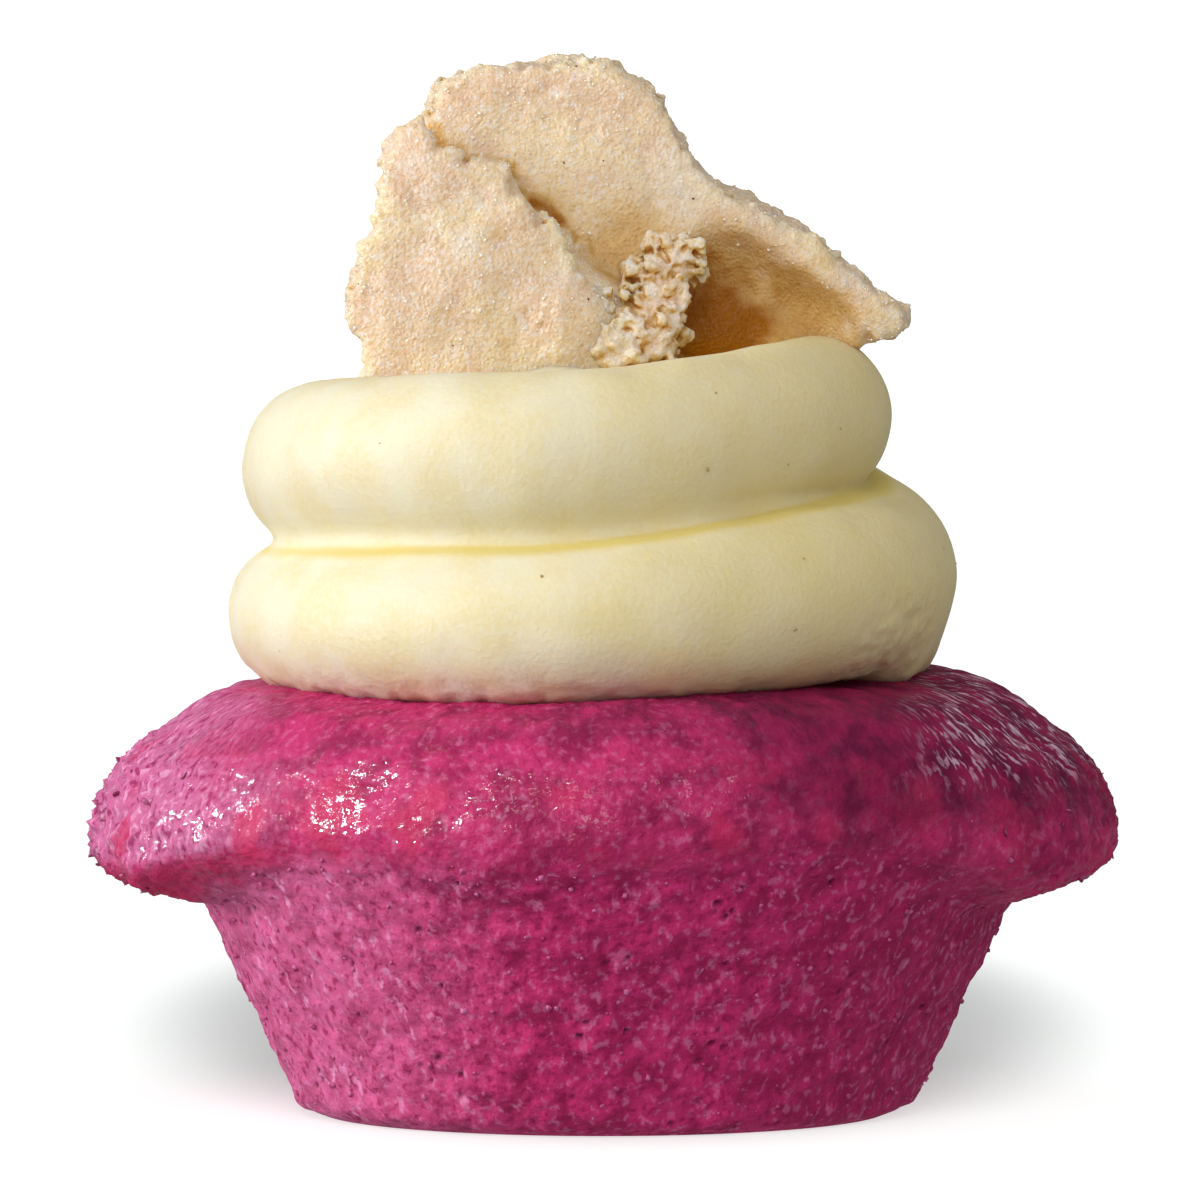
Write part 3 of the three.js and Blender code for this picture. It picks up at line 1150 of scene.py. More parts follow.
    def _faces(self, rows: int) -> list[list[int]]:
        """Four-sided faces between rings, and fans at the two ends.

        Args:
            rows: How many rings there are, the base's too.

        Returns:
            The faces, as rows of point numbers.
        """
        ring = np.arange(self.segments)
        after = np.roll(ring, -1)
        faces = []
        for row in range(rows - 1):
            low, high = row * self.segments, (row + 1) * self.segments
            faces += np.stack([low + ring, low + after, high + after, high + ring], axis=1).tolist()
        bottom, top = rows * self.segments, rows * self.segments + 1
        last = (rows - 1) * self.segments
        faces += np.stack([np.full_like(ring, bottom), after, ring], axis=1).tolist()
        faces += np.stack([np.full_like(ring, top), last + ring, last + after], axis=1).tolist()
        return faces

    def build(self) -> None:
        """Builds the cake, and the crumbs and torn flakes that cling to it."""
        spots, faces, zones, slopes = self.mesh()
        dress(build_piece("sponge_cake", spots, faces, zones), SpongeFinish().build(), "sponge")
        rng = np.random.default_rng(31)
        side = np.flatnonzero((zones["skin"] < 0.5) & (spots[:, 2] > 0.7))
        chosen = rng.choice(side, self.crumbs, replace=False)
        crumbs = Scatter(Morsel.CRUMB, smallest=0.07, largest=0.3, sunk=0.5, seed=32)
        finish = MorselFinish("sponge crumb", paint("b0306c"), paint("c9609a"), roughness=0.6)
        crumbs.build("sponge_crumbs", finish, "sponge", spots[chosen], slopes[chosen])
        outer = np.hypot(spots[:, 0], spots[:, 1]) > self.flakes_from
        chosen = rng.choice(np.flatnonzero((zones["skin"] > 0.5) & outer), self.flakes, replace=False)
        flakes = Scatter(Morsel.FLAKE, smallest=0.12, largest=0.55, sunk=0.45, seed=33)
        finish = MorselFinish("sponge flake", paint("8c2458"), paint("c0588f"), roughness=0.5)
        flakes.build("sponge_flakes", finish, "sponge", spots[chosen], slopes[chosen])


@dataclass
class Swirl:
    """The icing: one bead wound anticlockwise seen from above, round a filled middle."""

    start_angle: float = -0.3
    turns: int = 3
    # Knots along the bead, evenly spaced from its first end to its last.
    radius: tuple = (12.0, 12.6, 12.6, 12.7, 12.4, 11.4, 10.8, 10.9, 10.9, 9.4, 6.6, 4.6, 3.1)
    height: tuple = (
        20.95, 21.55, 21.75, 21.85, 23.25, 26.55, 28.25, 29.05, 30.45, 31.15, 31.15, 30.95, 30.35,
    )
    shift: tuple = (0, -0.2, -0.35, -0.4, -0.4, -1.2, -1.55, -1.6, -1.6, -1.4, -1.3, -1.3, -1.3)
    half_width: tuple = (2.6, 3.5, 3.5, 3.6, 3.6, 3.5, 3.5, 3.5, 3.4, 3.3, 3.2, 3.0, 2.6)
    half_height: tuple = (2.3, 3.3, 3.3, 3.5, 4.0, 3.8, 3.65, 3.7, 3.55, 3.1, 2.8, 2.5, 2.2)
    bead_waves: tuple = ((0.07, 3, 1.1), (0.05, 7, 0.0))
    core_shift: float = -1.3
    core_radius: float = 12.9
    core_top_radius: float = 8.6
    core_bottom: float = 17.6
    core_waist: float = 27.2
    core_top: float = 30.6
    seam: float = 0.6
    dents: tuple = ((0.14, 5.5), (0.06, 2.3))
    # Torn places, each a middle, a reach and a strength.
    torn: tuple = (((13.0, -8.0, 20.3), 3.6, 1.0), ((9.6, -9.2, 26.6), 1.5, 0.5))
    torn_layers: tuple = ((0.12, 0.8), (0.15, 0.42))
    torn_edge: Span = (1.4, 0.5)
    fray_layers: tuple = ((0.1, 1.1), (0.1, 0.5))
    fray_height: Span = (20.2, 19.0)
    fray_radius: Span = (13.5, 14.5)
    relief_band: float = 1.2
    near_look: float = 0.9
    far_look: float = 2.4
    far_share: float = 0.85
    down_facing: Span = (-0.6, 0.2)
    bottom_tint_height: Span = (19.2, 18.7)
    shade_tint_reach: Span = (-8.0, 13.0)
    specks: int = 26
    specks_from: float = 12.5
    block_low: Triple = (-17.6, -17.4, 17.4)
    block_high: Triple = (16.8, 17.2, 34.9)
    cell: float = 0.24

    @staticmethod
    def _oval(across: Array, upright: Array, width: Array, height: Array) -> Array:
        """The distance to an upright oval in its own plane.

        Args:
            across: How far to the side of its middle each point is.
            upright: How far above its middle.
            width: Half the oval's width.
            height: Half its height.

        Returns:
            The distance at each point.
        """
        near = np.maximum(np.hypot(across / width, upright / height), 1e-6)
        slope = np.maximum(np.hypot(across / width**2, upright / height**2), 1e-6)
        return near * (near - 1) / slope

    def _turn(self, spots: Array, turn: int) -> Array:
        """The distance to one turn of the bead.

        Args:
            spots: Points, one to a row.
            turn: The turn's number, from 0 at the bottom.

        Returns:
            The distance at each.
        """
        angle = np.arctan2(spots[:, 1], spots[:, 0] - self.core_shift)
        share = (((angle - self.start_angle) / (2 * math.pi)) % 1 + turn) / self.turns
        width = along(self.half_width, share) + wave(self.bead_waves, angle)
        middle = along(self.shift, share)
        across = np.hypot(spots[:, 0] - middle, spots[:, 1]) - along(self.radius, share)
        upright = spots[:, 2] - along(self.height, share)
        return self._oval(across, upright, width, along(self.half_height, share))

    def _end(self, spots: Array, knot: int) -> Array:
        """The distance to one of the bead's rounded ends.

        Args:
            spots: Points, one to a row.
            knot: The end's knot, 0 for the first end or -1 for the last.

        Returns:
            The distance at each.
        """
        angle = self.start_angle + (2 * math.pi * self.turns if knot else 0)
        reach = self.radius[knot]
        middle = (self.shift[knot] + reach * math.cos(angle), reach * math.sin(angle), self.height[knot])
        away = spots - middle
        across = np.hypot(away[:, 0], away[:, 1])
        return self._oval(across, away[:, 2], self.half_width[knot], self.half_height[knot])

    def _core(self, spots: Array) -> Array:
        """The distance to the filled middle.

        Args:
            spots: Points, one to a row.

        Returns:
            The distance at each.
        """
        narrow = (self.core_radius - self.core_top_radius) / (self.core_top - self.core_waist)
        radius = self.core_radius - narrow * np.clip(spots[:, 2] - self.core_waist, 0, None)
        across = np.hypot(spots[:, 0] - self.core_shift, spots[:, 1]) - radius
        upright = np.maximum(spots[:, 2] - self.core_top, self.core_bottom - spots[:, 2])
        return np.maximum(across, upright)

    def distance(self, spots: Array) -> Array:
        """The distance to the smooth swirl, negative inside it.

        Args:
            spots: Points, one to a row.

        Returns:
            The distance at each.
        """
        shapes = [self._turn(spots, turn) for turn in range(self.turns)]
        shapes += [self._end(spots, 0), self._end(spots, -1), self._core(spots)]
        gap = shapes[0]
        for other in shapes[1:]:
            gap = join(gap, other, self.seam)
        return gap

    def _relief(self, spots: Array) -> Array:
        """Soft dents all over, torn places at the right, and a fraying lower edge.

        Args:
            spots: Points, one to a row.

        Returns:
            The height of the relief at each.
        """
        grain = Grain(51)
        relief = grain.layers(spots, self.dents)
        crumbled = grain.layers(spots, self.torn_layers)
        for middle, reach, strength in self.torn:
            near = ease(*self.torn_edge, np.linalg.norm(spots - middle, axis=1) / reach)
            relief += strength * near * crumbled
        fray = ease(*self.fray_radius, np.hypot(spots[:, 0], spots[:, 1]))
        fray = ease(*self.fray_height, spots[:, 2]) * fray
        return relief + fray * grain.layers(spots, self.fray_layers)

    def build(self) -> Block:
        """Builds the icing and its specks.

        Returns:
            The block that holds the icing's shape, for what is set on it.
        """
        block = Block(self.block_low, self.block_high, self.cell)
        block.add(self.distance, blend=0.01)
        block.roughen(self._relief, self.relief_band)
        spots, faces = block.skin()
        slopes = block.slopes(spots)
        # Painted shade in the creases: how enclosed each point is, mostly on the up-facing side.
        deep = self.far_share * block.hollows(spots, slopes, self.far_look)
        shaded_hollow = np.maximum(block.hollows(spots, slopes, self.near_look), deep)
        shaded_hollow *= 0.35 + 0.65 * ease(*self.down_facing, slopes[:, 2])
        # Browner towards the bottom edge, where the icing meets the sponge.
        bottom_tint = ease(*self.bottom_tint_height, spots[:, 2] + 0.45 * Grain(52).at(spots, 0.7))
        # Painted shade: a deeper yellow towards the right, away from the light.
        shade_tint = 0.7 * ease(*self.shade_tint_reach, spots[:, 0] + 2 * Grain(52).at(spots, 4.0))
        zones = {"shaded_hollow": shaded_hollow, "bottom_tint": bottom_tint, "shade_tint": shade_tint}
        piece = build_piece("piped_icing", spots, faces, zones)
        dress(piece, IcingFinish().build(), "icing")
        self._scatter_specks(spots, slopes)
        return block

    def _scatter_specks(self, spots: Array, slopes: Array) -> None:
        """Scatters a few tan specks over the icing.

        Args:
            spots: Points on the icing.
            slopes: The outward directions there.
        """
        rng = np.random.default_rng(53)
        outer = np.flatnonzero(np.hypot(spots[:, 0], spots[:, 1]) > self.specks_from)
        chosen = rng.choice(outer, self.specks, replace=False)
        specks = Scatter(Morsel.CRUMB, smallest=0.1, largest=0.24, sunk=0.6, seed=54)
        finish = MorselFinish("icing speck", paint("b79a63"), paint("d3bc86"), roughness=0.5)
        specks.build("icing_specks", finish, "icing", spots[chosen], slopes[chosen])


@dataclass(frozen=True)
class Lump:
    """One lump of dough, between a ball and a brick. Its tilt is in degrees."""

    at: Triple
    half: Triple
    tilt: Triple = (0, 0, 0)
    squareness: float = 2.7

    def _turn(self) -> Array:
        """The lump's tilt about the three axes.

        Returns:
            Its matrix.
        """
        x, y, z = (math.radians(a) for a in self.tilt)
        about_x = np.array([[1, 0, 0], [0, math.cos(x), -math.sin(x)], [0, math.sin(x), math.cos(x)]])
        about_y = np.array([[math.cos(y), 0, math.sin(y)], [0, 1, 0], [-math.sin(y), 0, math.cos(y)]])
        about_z = np.array([[math.cos(z), -math.sin(z), 0], [math.sin(z), math.cos(z), 0], [0, 0, 1]])
        return about_x @ about_y @ about_z

    def furthest(self) -> float:
        """The furthest that the lump reaches from its centre."""
        return max(self.half) * 1.5

    def distance(self, spots: Array) -> Array:
        """The distance to the lump's skin, negative inside it.

        Args:
            spots: Points, one to a row.

        Returns:
            The distance at each.
        """
        local = (spots - self.at) @ self._turn()
        x, y, z = local.T
        power = self.squareness
        flat = (np.abs(x / self.half[0]) ** power + np.abs(z / self.half[2]) ** power) ** (1 / power)
        near = np.maximum((flat**power + np.abs(y / self.half[1]) ** power) ** (1 / power), 1e-6)
        return np.linalg.norm(local, axis=1) * (1 - 1 / near)


@dataclass(frozen=True)
class Slab:
    """A torn slab with an uneven outline seen from the front, and sloping faces."""

    outline: tuple[Span, ...]
    middle: Span
    front: float
    front_lean: float
    back: float
    back_lean: float
    bulge: float
    rounding: float
    ragged: float = 0.3
    coarse_tears: float = 0.8
    fine_tears: float = 0.38
    fine_share: float = 0.7
    step: float = 0.1
    margin: float = 2.0

    def _field(self) -> tuple[Array, Array]:
        """Distances to the outline on a fine grid.

        Returns:
            The grid's lowest corner, and the distances, negative inside.
        """
        corners = np.array(self.outline)
        low = corners.min(axis=0) - self.margin
        counts = np.ceil((corners.max(axis=0) + self.margin - low) / self.step).astype(int)
        x, z = np.meshgrid(*(low[i] + self.step * np.arange(counts[i]) for i in (0, 1)), indexing="ij")
        near = np.full(x.shape, 99.0)
        inside = np.zeros(x.shape, bool)
        for a, b in zip(corners, np.roll(corners, -1, axis=0)):
            run = b - a
            share = np.clip(((x - a[0]) * run[0] + (z - a[1]) * run[1]) / (run @ run), 0, 1)
            near = np.minimum(near, np.hypot(x - a[0] - share * run[0], z - a[1] - share * run[1]))
            crossing = a[0] + (z - a[1]) * run[0] / (run[1] or 1)
            inside ^= ((a[1] > z) != (b[1] > z)) & (x < crossing)
        return low, np.where(inside, -near, near)

    def distance(self, spots: Array) -> Array:
        """The distance to the slab's skin, negative inside it.

        Args:
            spots: Points, one to a row.

        Returns:
            The distance at each.
        """
        low, field = self._field()
        flat = spots[:, (0, 2)]
        gap = read(field, (flat - low) / self.step)
        torn = Grain(69)
        shallow = spots * (1, 0.4, 1)
        tears = torn.at(shallow, self.coarse_tears)
        gap += self.ragged * (tears + self.fine_share * torn.at(shallow + 5, self.fine_tears))
        away = flat - self.middle
        face = self.front + self.front_lean * away[:, 1] + self.bulge * (away**2).sum(axis=1)
        rear = self.back + self.back_lean * away[:, 1]
        depth = np.maximum(face - spots[:, 1], spots[:, 1] - rear) + self.rounding
        gap += self.rounding
        outer = np.hypot(np.clip(gap, 0, None), np.clip(depth, 0, None))
        return np.minimum(np.maximum(gap, depth), 0) + outer - self.rounding


@dataclass
class Dough:
    """The torn chunk of cookie dough: a leaf in front of a body with a wing."""

    leaf: Slab = Slab(
        outline=(
            (-10.1, 31.5), (-10.5, 33.6), (-11.0, 34.3), (-11.1, 35.1), (-11.2, 36.1), (-10.8, 36.9),
            (-10.5, 38.0), (-10.0, 38.5), (-9.9, 39.5), (-9.6, 40.4), (-9.5, 41.7), (-9.4, 42.5),
            (-8.9, 43.2), (-8.0, 43.5), (-7.6, 42.9), (-7.4, 42.2), (-6.3, 42.1), (-6.0, 41.4),
            (-5.3, 41.8), (-4.2, 41.6), (-3.9, 40.3), (-3.2, 39.7), (-2.3, 39.0), (-1.4, 38.1),
            (-0.9, 37.1), (-0.6, 36.1), (0.1, 35.0), (0.4, 33.8), (0.0, 31.5),
        ),
        middle=(-5.6, 37.0),
        front=-6.5,
        front_lean=0.14,
        back=-2.2,
        back_lean=0.0,
        bulge=0.018,
        rounding=0.35,
    )
    body: Slab = Slab(
        outline=(
            (-8.0, 32.0), (-8.2, 37.7), (-8.2, 40.8), (-7.5, 42.0), (-7.7, 43.0), (-7.7, 44.0),
            (-7.1, 45.1), (-5.8, 45.5), (-3.6, 45.7), (-2.5, 45.9), (-1.2, 46.1), (0.1, 45.8),
            (1.6, 45.1), (2.6, 44.3), (2.8, 43.5), (3.4, 42.5), (4.1, 41.4), (5.2, 40.3), (6.5, 39.7),
            (8.0, 38.9), (9.5, 38.0), (10.6, 37.0), (11.8, 35.9), (13.2, 35.1), (13.3, 34.5),
            (12.6, 34.0), (12.0, 33.9), (11.6, 34.4), (11.1, 34.5), (10.4, 33.4), (8.6, 32.4),
            (6.9, 32.0), (4.2, 32.0), (1.6, 31.5),
        ),
        middle=(1.0, 38.0),
        front=-2.7,
        front_lean=0.15,
        back=6.6,
        back_lean=-0.3,
        bulge=0.004,
        rounding=0.5,
    )
    feet: tuple[Lump, ...] = (
        Lump(at=(-3.6, -2.6, 34.75), half=(5.4, 4.0, 3.2), tilt=(0, 10, -8)),
        Lump(at=(-1.6, 5.4, 35.75), half=(7.4, 4.6, 4.8), tilt=(8, 4, 6)),
        Lump(at=(3.4, 4.6, 37.55), half=(5.0, 3.6, 3.6), tilt=(0, 30, 0)),
        Lump(at=(10.7, -1.6, 34.2), half=(0.8, 1.0, 0.9), tilt=(0, 20, 0)),
    )
    scoops: tuple[Lump, ...] = (
        Lump(at=(7.4, -4.3, 35.6), half=(4.2, 3.4, 1.8), tilt=(0, 34, 0)),
        Lump(at=(4.9, -4.2, 35.4), half=(2.3, 3.3, 2.4)),
    )
    # Clusters of crumbs, each a middle, a spread and a count.
    clusters: tuple = (
        ((3.2, -3.6, 37.3), 0.8, 100),
        ((2.2, -4.2, 36.3), 0.8, 90),
        ((2.2, -4.7, 35.2), 0.9, 130),
        ((1.8, -5.2, 33.9), 0.85, 100),
        ((-0.4, -5.3, 34.9), 0.95, 120),
        ((0.4, -5.6, 33.6), 0.95, 100),
    )
    # Soft marks, each a middle, a reach and a strength; the amber marks are painted shade in the hollows
    # and the cleft.
    amber_shade_spots: tuple = (
        ((4.9, -1.2, 34.1), 4.6, 1.15),
        ((8.2, -1.8, 34.6), 4.4, 0.6),
        ((6.0, -2.0, 36.8), 3.8, 0.42),
        ((1.4, -2.6, 37.7), 3.6, 0.38),
        ((-6.0, -3.2, 42.2), 1.7, 0.4),
        ((-2.6, -3.0, 39.6), 1.9, 0.42),
        ((0.2, -3.4, 36.2), 1.9, 0.45),
        ((0.4, -4.4, 33.8), 1.4, 0.5),
        ((2.4, 0.0, 44.9), 1.0, 0.8),
        ((-4.5, -6.3, 38.6), 0.6, 0.3),
        ((-6.6, -6.5, 35.3), 0.5, 0.3),
        ((-4.3, -6.6, 33.9), 0.7, 0.3),
    )
    pale_spots: tuple = (
        ((-6.0, -6.3, 38.2), 0.9, 0.8),
        ((-2.0, -5.8, 37.0), 0.8, 0.9),
        ((-0.7, -5.6, 34.8), 0.9, 0.9),
        ((-8.4, -5.5, 41.7), 0.7, 0.6),
        ((3.4, -2.4, 40.6), 2.6, 0.5),
        ((7.0, -2.4, 38.8), 2.2, 0.5),
        ((10.7, -2.4, 34.2), 1.2, 0.9),
        ((10.6, -2.2, 36.2), 1.8, 0.5),
    )
    cluster_form: Triple = (1, 0.5, 0.85)
    cluster_edge: float = 1.4
    crumb_half: Span = (0.12, 0.36)
    crumb_stretch: Span = (0.6, 1.3)
    crumb_seam: float = 0.14
    leaf_seam: float = 0.15
    body_seam: float = 0.3
    foot_seam: float = 0.6
    scoop_seam: float = 1.1
    root_seam: float = 0.3
    bare_from: float = 33.6
    bare_amber: float = 0.3
    sunk: float = 0.4
    relief_band: float = 1.2
    block_low: Triple = (-12.2, -8.6, 30.2)
    block_high: Triple = (14.8, 11.6, 47.2)
    cell: float = 0.15
    cleft_low: Triple = (-3.4, -8.2, 32.0)
    cleft_high: Triple = (6.0, -1.6, 39.6)
    crumb_cell: float = 0.085

    def _crumbs(self) -> list[Lump]:
        """Small torn crumbs, clustered in the cleft between leaf and body.

        Returns:
            The crumbs.
        """
        rng = np.random.default_rng(61)
        crumbs = []
        for middle, spread, count in self.clusters:
            for _ in range(count):
                away = rng.normal(size=3).clip(-self.cluster_edge, self.cluster_edge)
                at = middle + away * spread * self.cluster_form
                half = rng.uniform(*self.crumb_half) * rng.uniform(*self.crumb_stretch, 3)
                tilt = tuple(rng.uniform(0, 180, 3))
                crumbs.append(Lump(at=tuple(at), half=tuple(half), tilt=tilt, squareness=3))
        return crumbs

    def _add_roots(self, block: Block, behind: float, size: float, seam: float) -> None:
        """Joins on a low mound for each cluster of crumbs to sit on.

        Args:
            block: The block that takes the mounds.
            behind: How far behind the cluster's middle each lies.
            size: Its size against the cluster's spread.
            seam: The width of its soft seam.
        """
        for (x, y, z), spread, _ in self.clusters:
            root = Lump(at=(x, y + behind, z), half=(size * spread,) * 3)
            block.add(root.distance, seam, root.at, root.furthest() + 0.5)

    def _press(self, block: Block, icing: Block) -> None:
        """Cuts the dough off where it is pressed onto the icing."""
        block.cut(lambda spots: icing.sample(spots) + self.sunk, blend=0.1)

    def _rubble(self, icing: Block, finish: bpy.types.Material) -> None:
        """Builds the crumbs as a finer piece of their own.

        Args:
            icing: The block of the icing that they lie on.
            finish: The dough's material.
        """
        block = Block(self.cleft_low, self.cleft_high, self.crumb_cell)
        self._add_roots(block, behind=0.2, size=1.15, seam=0.4)
        for crumb in self._crumbs():
            block.add(crumb.distance, self.crumb_seam, crumb.at, crumb.furthest() + 0.3)
        rough = Grain(64)
        block.roughen(lambda spots: 0.13 * rough.at(spots, 0.4) + 0.09 * rough.at(spots + 7, 0.22), 0.4)
        self._press(block, icing)
        spots, faces = block.skin()
        slopes = block.slopes(spots)
        lit = ease(-0.3, 0.8, slopes[:, 2] - 0.5 * slopes[:, 1])
        patch = ease(-0.1, 0.4, rough.at(spots + 30, 1.1))
        gaps = ease(0.25, 0.75, block.hollows(spots, slopes, 0.5))
        # Painted light and shade: amber on the sides turned from the light and in the gaps, pale on the
        # tops that face it.
        amber_shade = np.clip(0.4 * (1 - lit) * (1 - 0.6 * patch) + 0.45 * gaps, 0, 1)
        zones = {"amber_shade": amber_shade, "pale": 0.55 * lit * (0.2 + 0.8 * patch)}
        dress(build_piece("dough_crumbs", spots, faces, zones), finish)

    def _relief(self, spots: Array) -> Array:
        """Torn crags: folds, cracks and a coarse grain.

        Args:
            spots: Points, one to a row.

        Returns:
            The height of the relief at each.
        """
        grain, torn = Grain(62), Grain(63)
        folds = grain.layers(spots, ((0.2, 3.2), (0.1, 1.4)))
        crags = 0.12 * np.abs(torn.at(spots, 0.9)) - 0.04 + 0.09 * torn.at(spots, 0.42)
        return folds + crags * ease(-0.5, 0.5, grain.at(spots + 30, 3.0))

    @staticmethod
    def _near(spots: Array, marks: tuple, blur: Array) -> Array:
        """How much each point lies in any of some soft round marks.

        Args:
            spots: Points, one to a row.
            marks: Each mark's middle, reach and strength.
            blur: An uneven shift that frays the marks' edges.

        Returns:
            A share from 0 to 1 for each point.
        """
        share = np.zeros(len(spots))
        for middle, reach, strength in marks:
            gap = np.linalg.norm(spots - middle, axis=1) / reach + blur
            share = np.maximum(share, strength * ease(1.1, 0.1, gap))
        return share

    def build(self, icing: Block) -> None:
        """Builds the dough, its sugar and its specks.

        Args:
            icing: The block of the icing that it is pressed onto.
        """
        block = Block(self.block_low, self.block_high, self.cell)
        block.add(self.body.distance, self.body_seam)
        for foot in self.feet:
            block.add(foot.distance, self.foot_seam, foot.at, foot.furthest())
        for scoop in self.scoops:
            block.cut(scoop.distance, self.scoop_seam, scoop.at, scoop.furthest())
        block.add(self.leaf.distance, self.leaf_seam)
        block.roughen(self._relief, self.relief_band)
        self._add_roots(block, behind=0.9, size=1, seam=self.root_seam)
        self._press(block, icing)
        spots, faces = block.skin()
        slopes = block.slopes(spots)
        # How enclosed each point is, for the amber painted as shade in the creases.
        shaded_hollow = 0.5 * block.hollows(spots, slopes, 1.0) + 0.5 * block.hollows(spots, slopes, 2.4)
        blur = 0.22 * Grain(68).at(spots, 1.8) + 0.16 * Grain(68).at(spots + 9, 0.6)
        # Painted shade: amber in soft marks at the hollows and the cleft, and in the deeper creases.
        amber_shade = self._near(spots, self.amber_shade_spots, blur) + 0.55 * ease(0.35, 0.9, shaded_hollow)
        zones = {"amber_shade": np.clip(amber_shade, 0, 1), "pale": self._near(spots, self.pale_spots, blur)}
        finish = DoughFinish().build()
        dress(build_piece("dough", spots, faces, zones), finish, "dough_chunk")
        self._rubble(icing, finish)
        self._sprinkle(spots, slopes, amber_shade)

    def _sprinkle(self, spots: Array, slopes: Array, amber_shade: Array) -> None:
        """Scatters sugar crystals and brown specks over the dough, but for its deep hollow.

        Args:
            spots: Points on the dough.
            slopes: The outward directions there.
            amber_shade: How much amber is painted there as shade.
        """
        rng = np.random.default_rng(65)
        bare = np.flatnonzero((spots[:, 2] > self.bare_from) & (amber_shade < self.bare_amber))
        sugar = MorselFinish("sugar crystal", paint("fff7ea"), paint("f8e4c8"), 0.15)
        speck = MorselFinish("brown speck", paint("6b3d1e"), paint("8a5a30"), 0.5)
        for name, finish, kind, count, sizes in (
            ("dough_sugar", sugar, Morsel.CRYSTAL, 2600, (0.05, 0.15)),
            ("dough_specks", speck, Morsel.CRUMB, 26, (0.07, 0.13)),
        ):
            chosen = rng.choice(bare, count, replace=False)
            scatter = Scatter(kind, *sizes, sunk=0.55, seed=66 + count)
            scatter.build(name, finish, "cookie_dough", spots[chosen], slopes[chosen])


@dataclass(frozen=True)
class Lamp:
    """A square soft light. Its place and width are in metres and its power in watts."""

    name: str
    place: Triple
    width: float
    power: float
    lights_floor: bool = False
    glints_only: bool = False

    def hang(self, aim: Triple, floor: bpy.types.Object) -> None:
        """Hangs the light in the studio.

        Args:
            aim: The place that it faces.
            floor: The floor, which it may spare.
        """
        data = bpy.data.lights.new(self.name, "AREA")
        data.size = self.width
        data.energy = self.power
        light = bpy.data.objects.new(self.name, data)
        bpy.context.scene.collection.objects.link(light)
        light.location = self.place
        light.rotation_euler = (Vector(aim) - Vector(self.place)).to_track_quat("-Z", "Y").to_euler()
        light.visible_diffuse = not self.glints_only
        if not self.lights_floor:
            spared = bpy.data.collections.new(f"{self.name} spares")
            spared.objects.link(floor)
            spared.collection_objects[0].light_linking.link_state = "EXCLUDE"
            light.light_linking.receiver_collection = spared


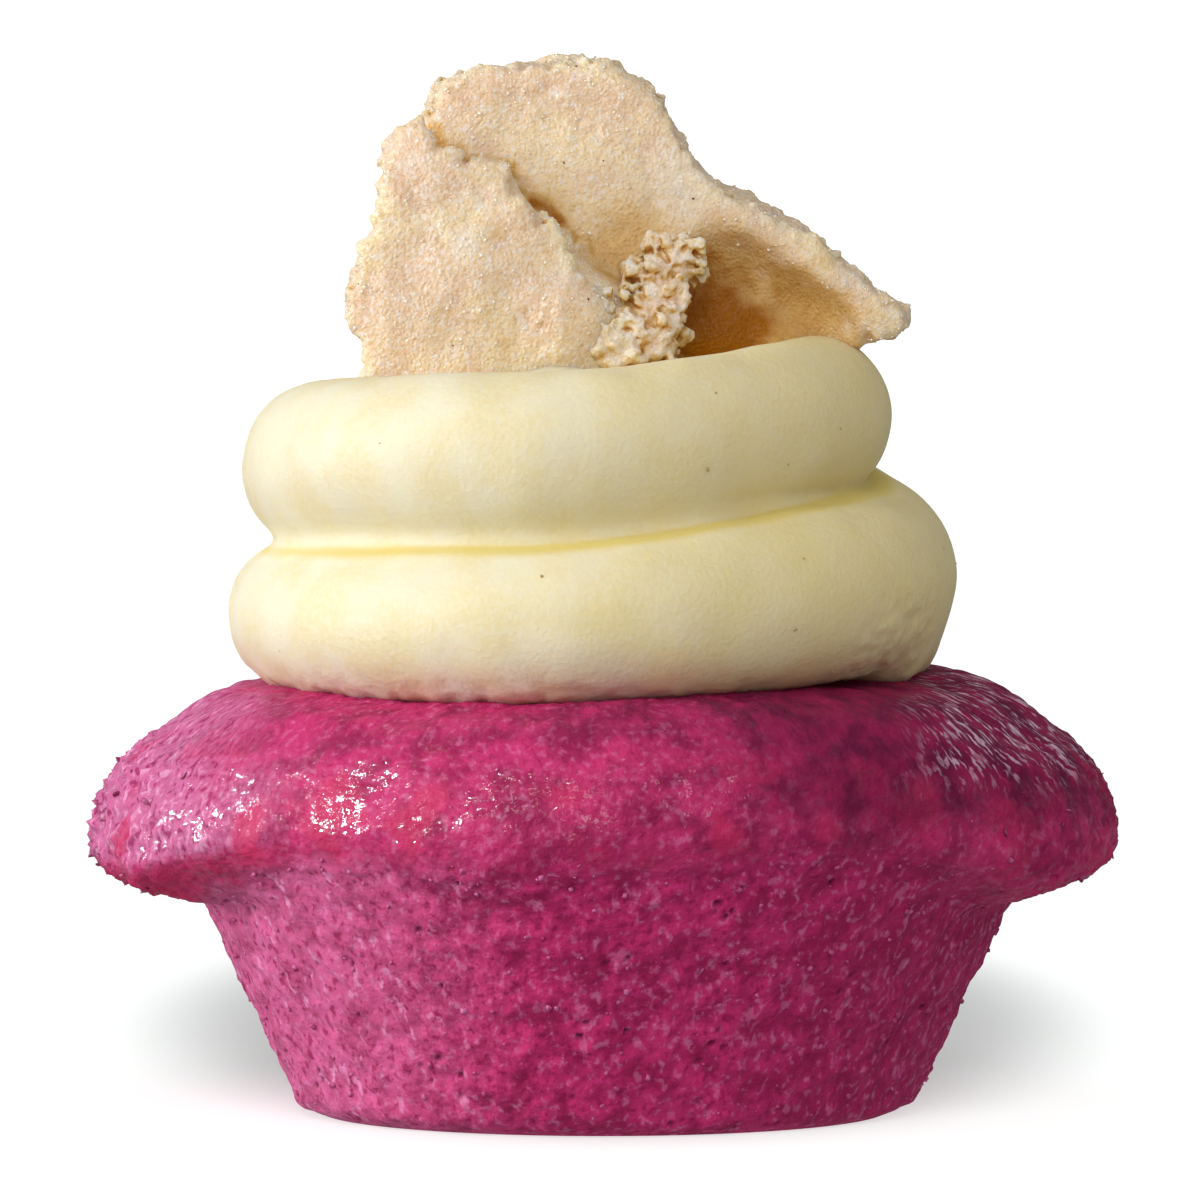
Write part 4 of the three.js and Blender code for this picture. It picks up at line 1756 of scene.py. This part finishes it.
@dataclass
class Studio:
    """The camera, the pale floor and the soft lights. Its sizes are in metres."""

    elevation: float = 3.0
    distance: float = 0.6
    frame_width: float = 0.05252
    aim: Triple = (-0.00013, 0.0, 0.02241)
    clip: Span = (0.01, 30.0)
    sensor: float = 36.0
    floor_radius: float = 10.0
    floor_sides: int = 96
    floor_colour: Colour = paint("c8c8c8")
    floor_glow_colour: Colour = paint("fbfffd")
    # A painted soft shadow: the floor glows less in a stretched ring round the cake.
    painted_shadow_place: Triple = (0.0006, 0.05, 0.0)
    painted_shadow_stretch: Triple = (1.0, 0.35, 1.0)
    painted_shadow_spread: Span = (0.016, 0.0255)
    painted_shadow_glow: Span = (0.28, 0.78)
    far_spread: Span = (0.15, 1.3)
    far_glow: Span = (0.0, 0.25)
    sky: float = 0.42
    sky_seen: float = 1.0
    sky_mirrored: float = 0.16
    lamps: tuple[Lamp, ...] = (
        Lamp("front softbox", (-0.05, -0.85, 0.55), 0.5, 2.9, lights_floor=True),
        Lamp("key softbox", (-0.9, -0.5, 0.36), 0.8, 2.9),
        Lamp("sparkle lamp", (-0.5, -0.5, 0.5), 0.12, 1.0),
        Lamp("window", (-0.89, -0.1, 0.18), 0.28, 3.3),
        Lamp("far glint lamp", (-0.92, -0.2, 0.2), 0.2, 6.0, glints_only=True),
        Lamp("near glint lamp", (-0.75, -0.45, 0.45), 0.14, 4.0, glints_only=True),
    )

    def _camera(self) -> None:
        """Sets the camera at the photograph's angle."""
        data = bpy.data.cameras.new("camera")
        data.sensor_width = self.sensor
        data.lens = self.sensor * self.distance / self.frame_width
        data.clip_start, data.clip_end = self.clip
        camera = bpy.data.objects.new("camera", data)
        bpy.context.scene.collection.objects.link(camera)
        tilt = math.radians(self.elevation)
        back = Vector((0, -math.cos(tilt), math.sin(tilt)))
        camera.location = Vector(self.aim) + back * self.distance
        camera.rotation_euler = (math.pi / 2 - tilt, 0, 0)
        bpy.context.scene.camera = camera

    def _floor(self) -> bpy.types.Object:
        """Lays a plain pale floor that the cake's sides don't catch light from. It glows to look evenly
        bright, and glows less round the cake in a painted soft shadow.

        Returns:
            The floor.
        """
        mesh = bpy.data.meshes.new("floor")
        disc = bmesh.new()
        bmesh.ops.create_circle(disc, cap_ends=True, segments=self.floor_sides, radius=self.floor_radius)
        disc.to_mesh(mesh)
        disc.free()
        floor = bpy.data.objects.new("floor", mesh)
        bpy.context.scene.collection.objects.link(floor)
        r = Recipe("floor finish")
        # Painted shadow: less glow near the cake; further off the glow rises to keep the floor evenly
        # bright.
        near = r.ramp(self._away(r, self.painted_shadow_place, self.painted_shadow_stretch), *self.painted_shadow_spread, *self.painted_shadow_glow)
        far = r.ramp(self._away(r, (0, 0, 0), EVEN), *self.far_spread, *self.far_glow)
        r.set(Base_Color=self.floor_colour, Roughness=0.9, Specular_IOR_Level=0.0)
        r.set(Emission_Color=self.floor_glow_colour, Emission_Strength=r.sum("ADD", near, far))
        mesh.materials.append(r.material)
        floor.visible_diffuse = False
        floor.visible_glossy = False
        return floor

    @staticmethod
    def _away(r: Recipe, middle: Triple, stretch: Triple) -> Socket:
        """The distance from a place on the floor, stretched along each axis.

        Args:
            r: The floor's material.
            middle: The place.
            stretch: The factor for each axis.

        Returns:
            The distance.
        """
        offset = r.tree.nodes.new("ShaderNodeVectorMath")
        offset.operation = "MULTIPLY_ADD"
        r.tree.links.new(r.place, offset.inputs[0])
        offset.inputs[1].default_value = stretch
        offset.inputs[2].default_value = [-place * factor for place, factor in zip(middle, stretch)]
        away = r.tree.nodes.new("ShaderNodeVectorMath")
        away.operation = "LENGTH"
        r.tree.links.new(offset.outputs["Vector"], away.inputs[0])
        return away.outputs["Value"]

    def _sky(self) -> None:
        """Fills the room with even light, and shows it pale behind the floor."""
        world = bpy.data.worlds.new("room")
        bpy.context.scene.world = world
        world.use_nodes = True
        tree = world.node_tree
        background = next(n for n in tree.nodes if n.type == "BACKGROUND")
        path = tree.nodes.new("ShaderNodeLightPath")
        strength = None
        for ray, seen in (("Is Glossy Ray", self.sky_mirrored), ("Is Camera Ray", self.sky_seen)):
            level = tree.nodes.new("ShaderNodeMapRange")
            level.inputs["To Min"].default_value = self.sky
            level.inputs["To Max"].default_value = seen
            tree.links.new(path.outputs[ray], level.inputs["Value"])
            if strength:
                tree.links.new(strength, level.inputs["To Min"])
            strength = level.outputs["Result"]
        tree.links.new(strength, background.inputs["Strength"])
        background.inputs["Color"].default_value = (1, 1, 1, 1)

    def build(self) -> None:
        """Sets up the camera, the floor and the lights."""
        self._camera()
        self._sky()
        floor = self._floor()
        for lamp in self.lamps:
            lamp.hang(self.aim, floor)
        bpy.context.scene.view_settings.view_transform = "Standard"


def main() -> None:
    """Builds the cupcake piece by piece, then the studio round it."""
    logging.basicConfig(level=logging.INFO, format="%(message)s")
    Studio().build()
    Sponge().build()
    icing = Swirl().build()
    Dough().build(icing)


if __name__ == "__main__":
    main()
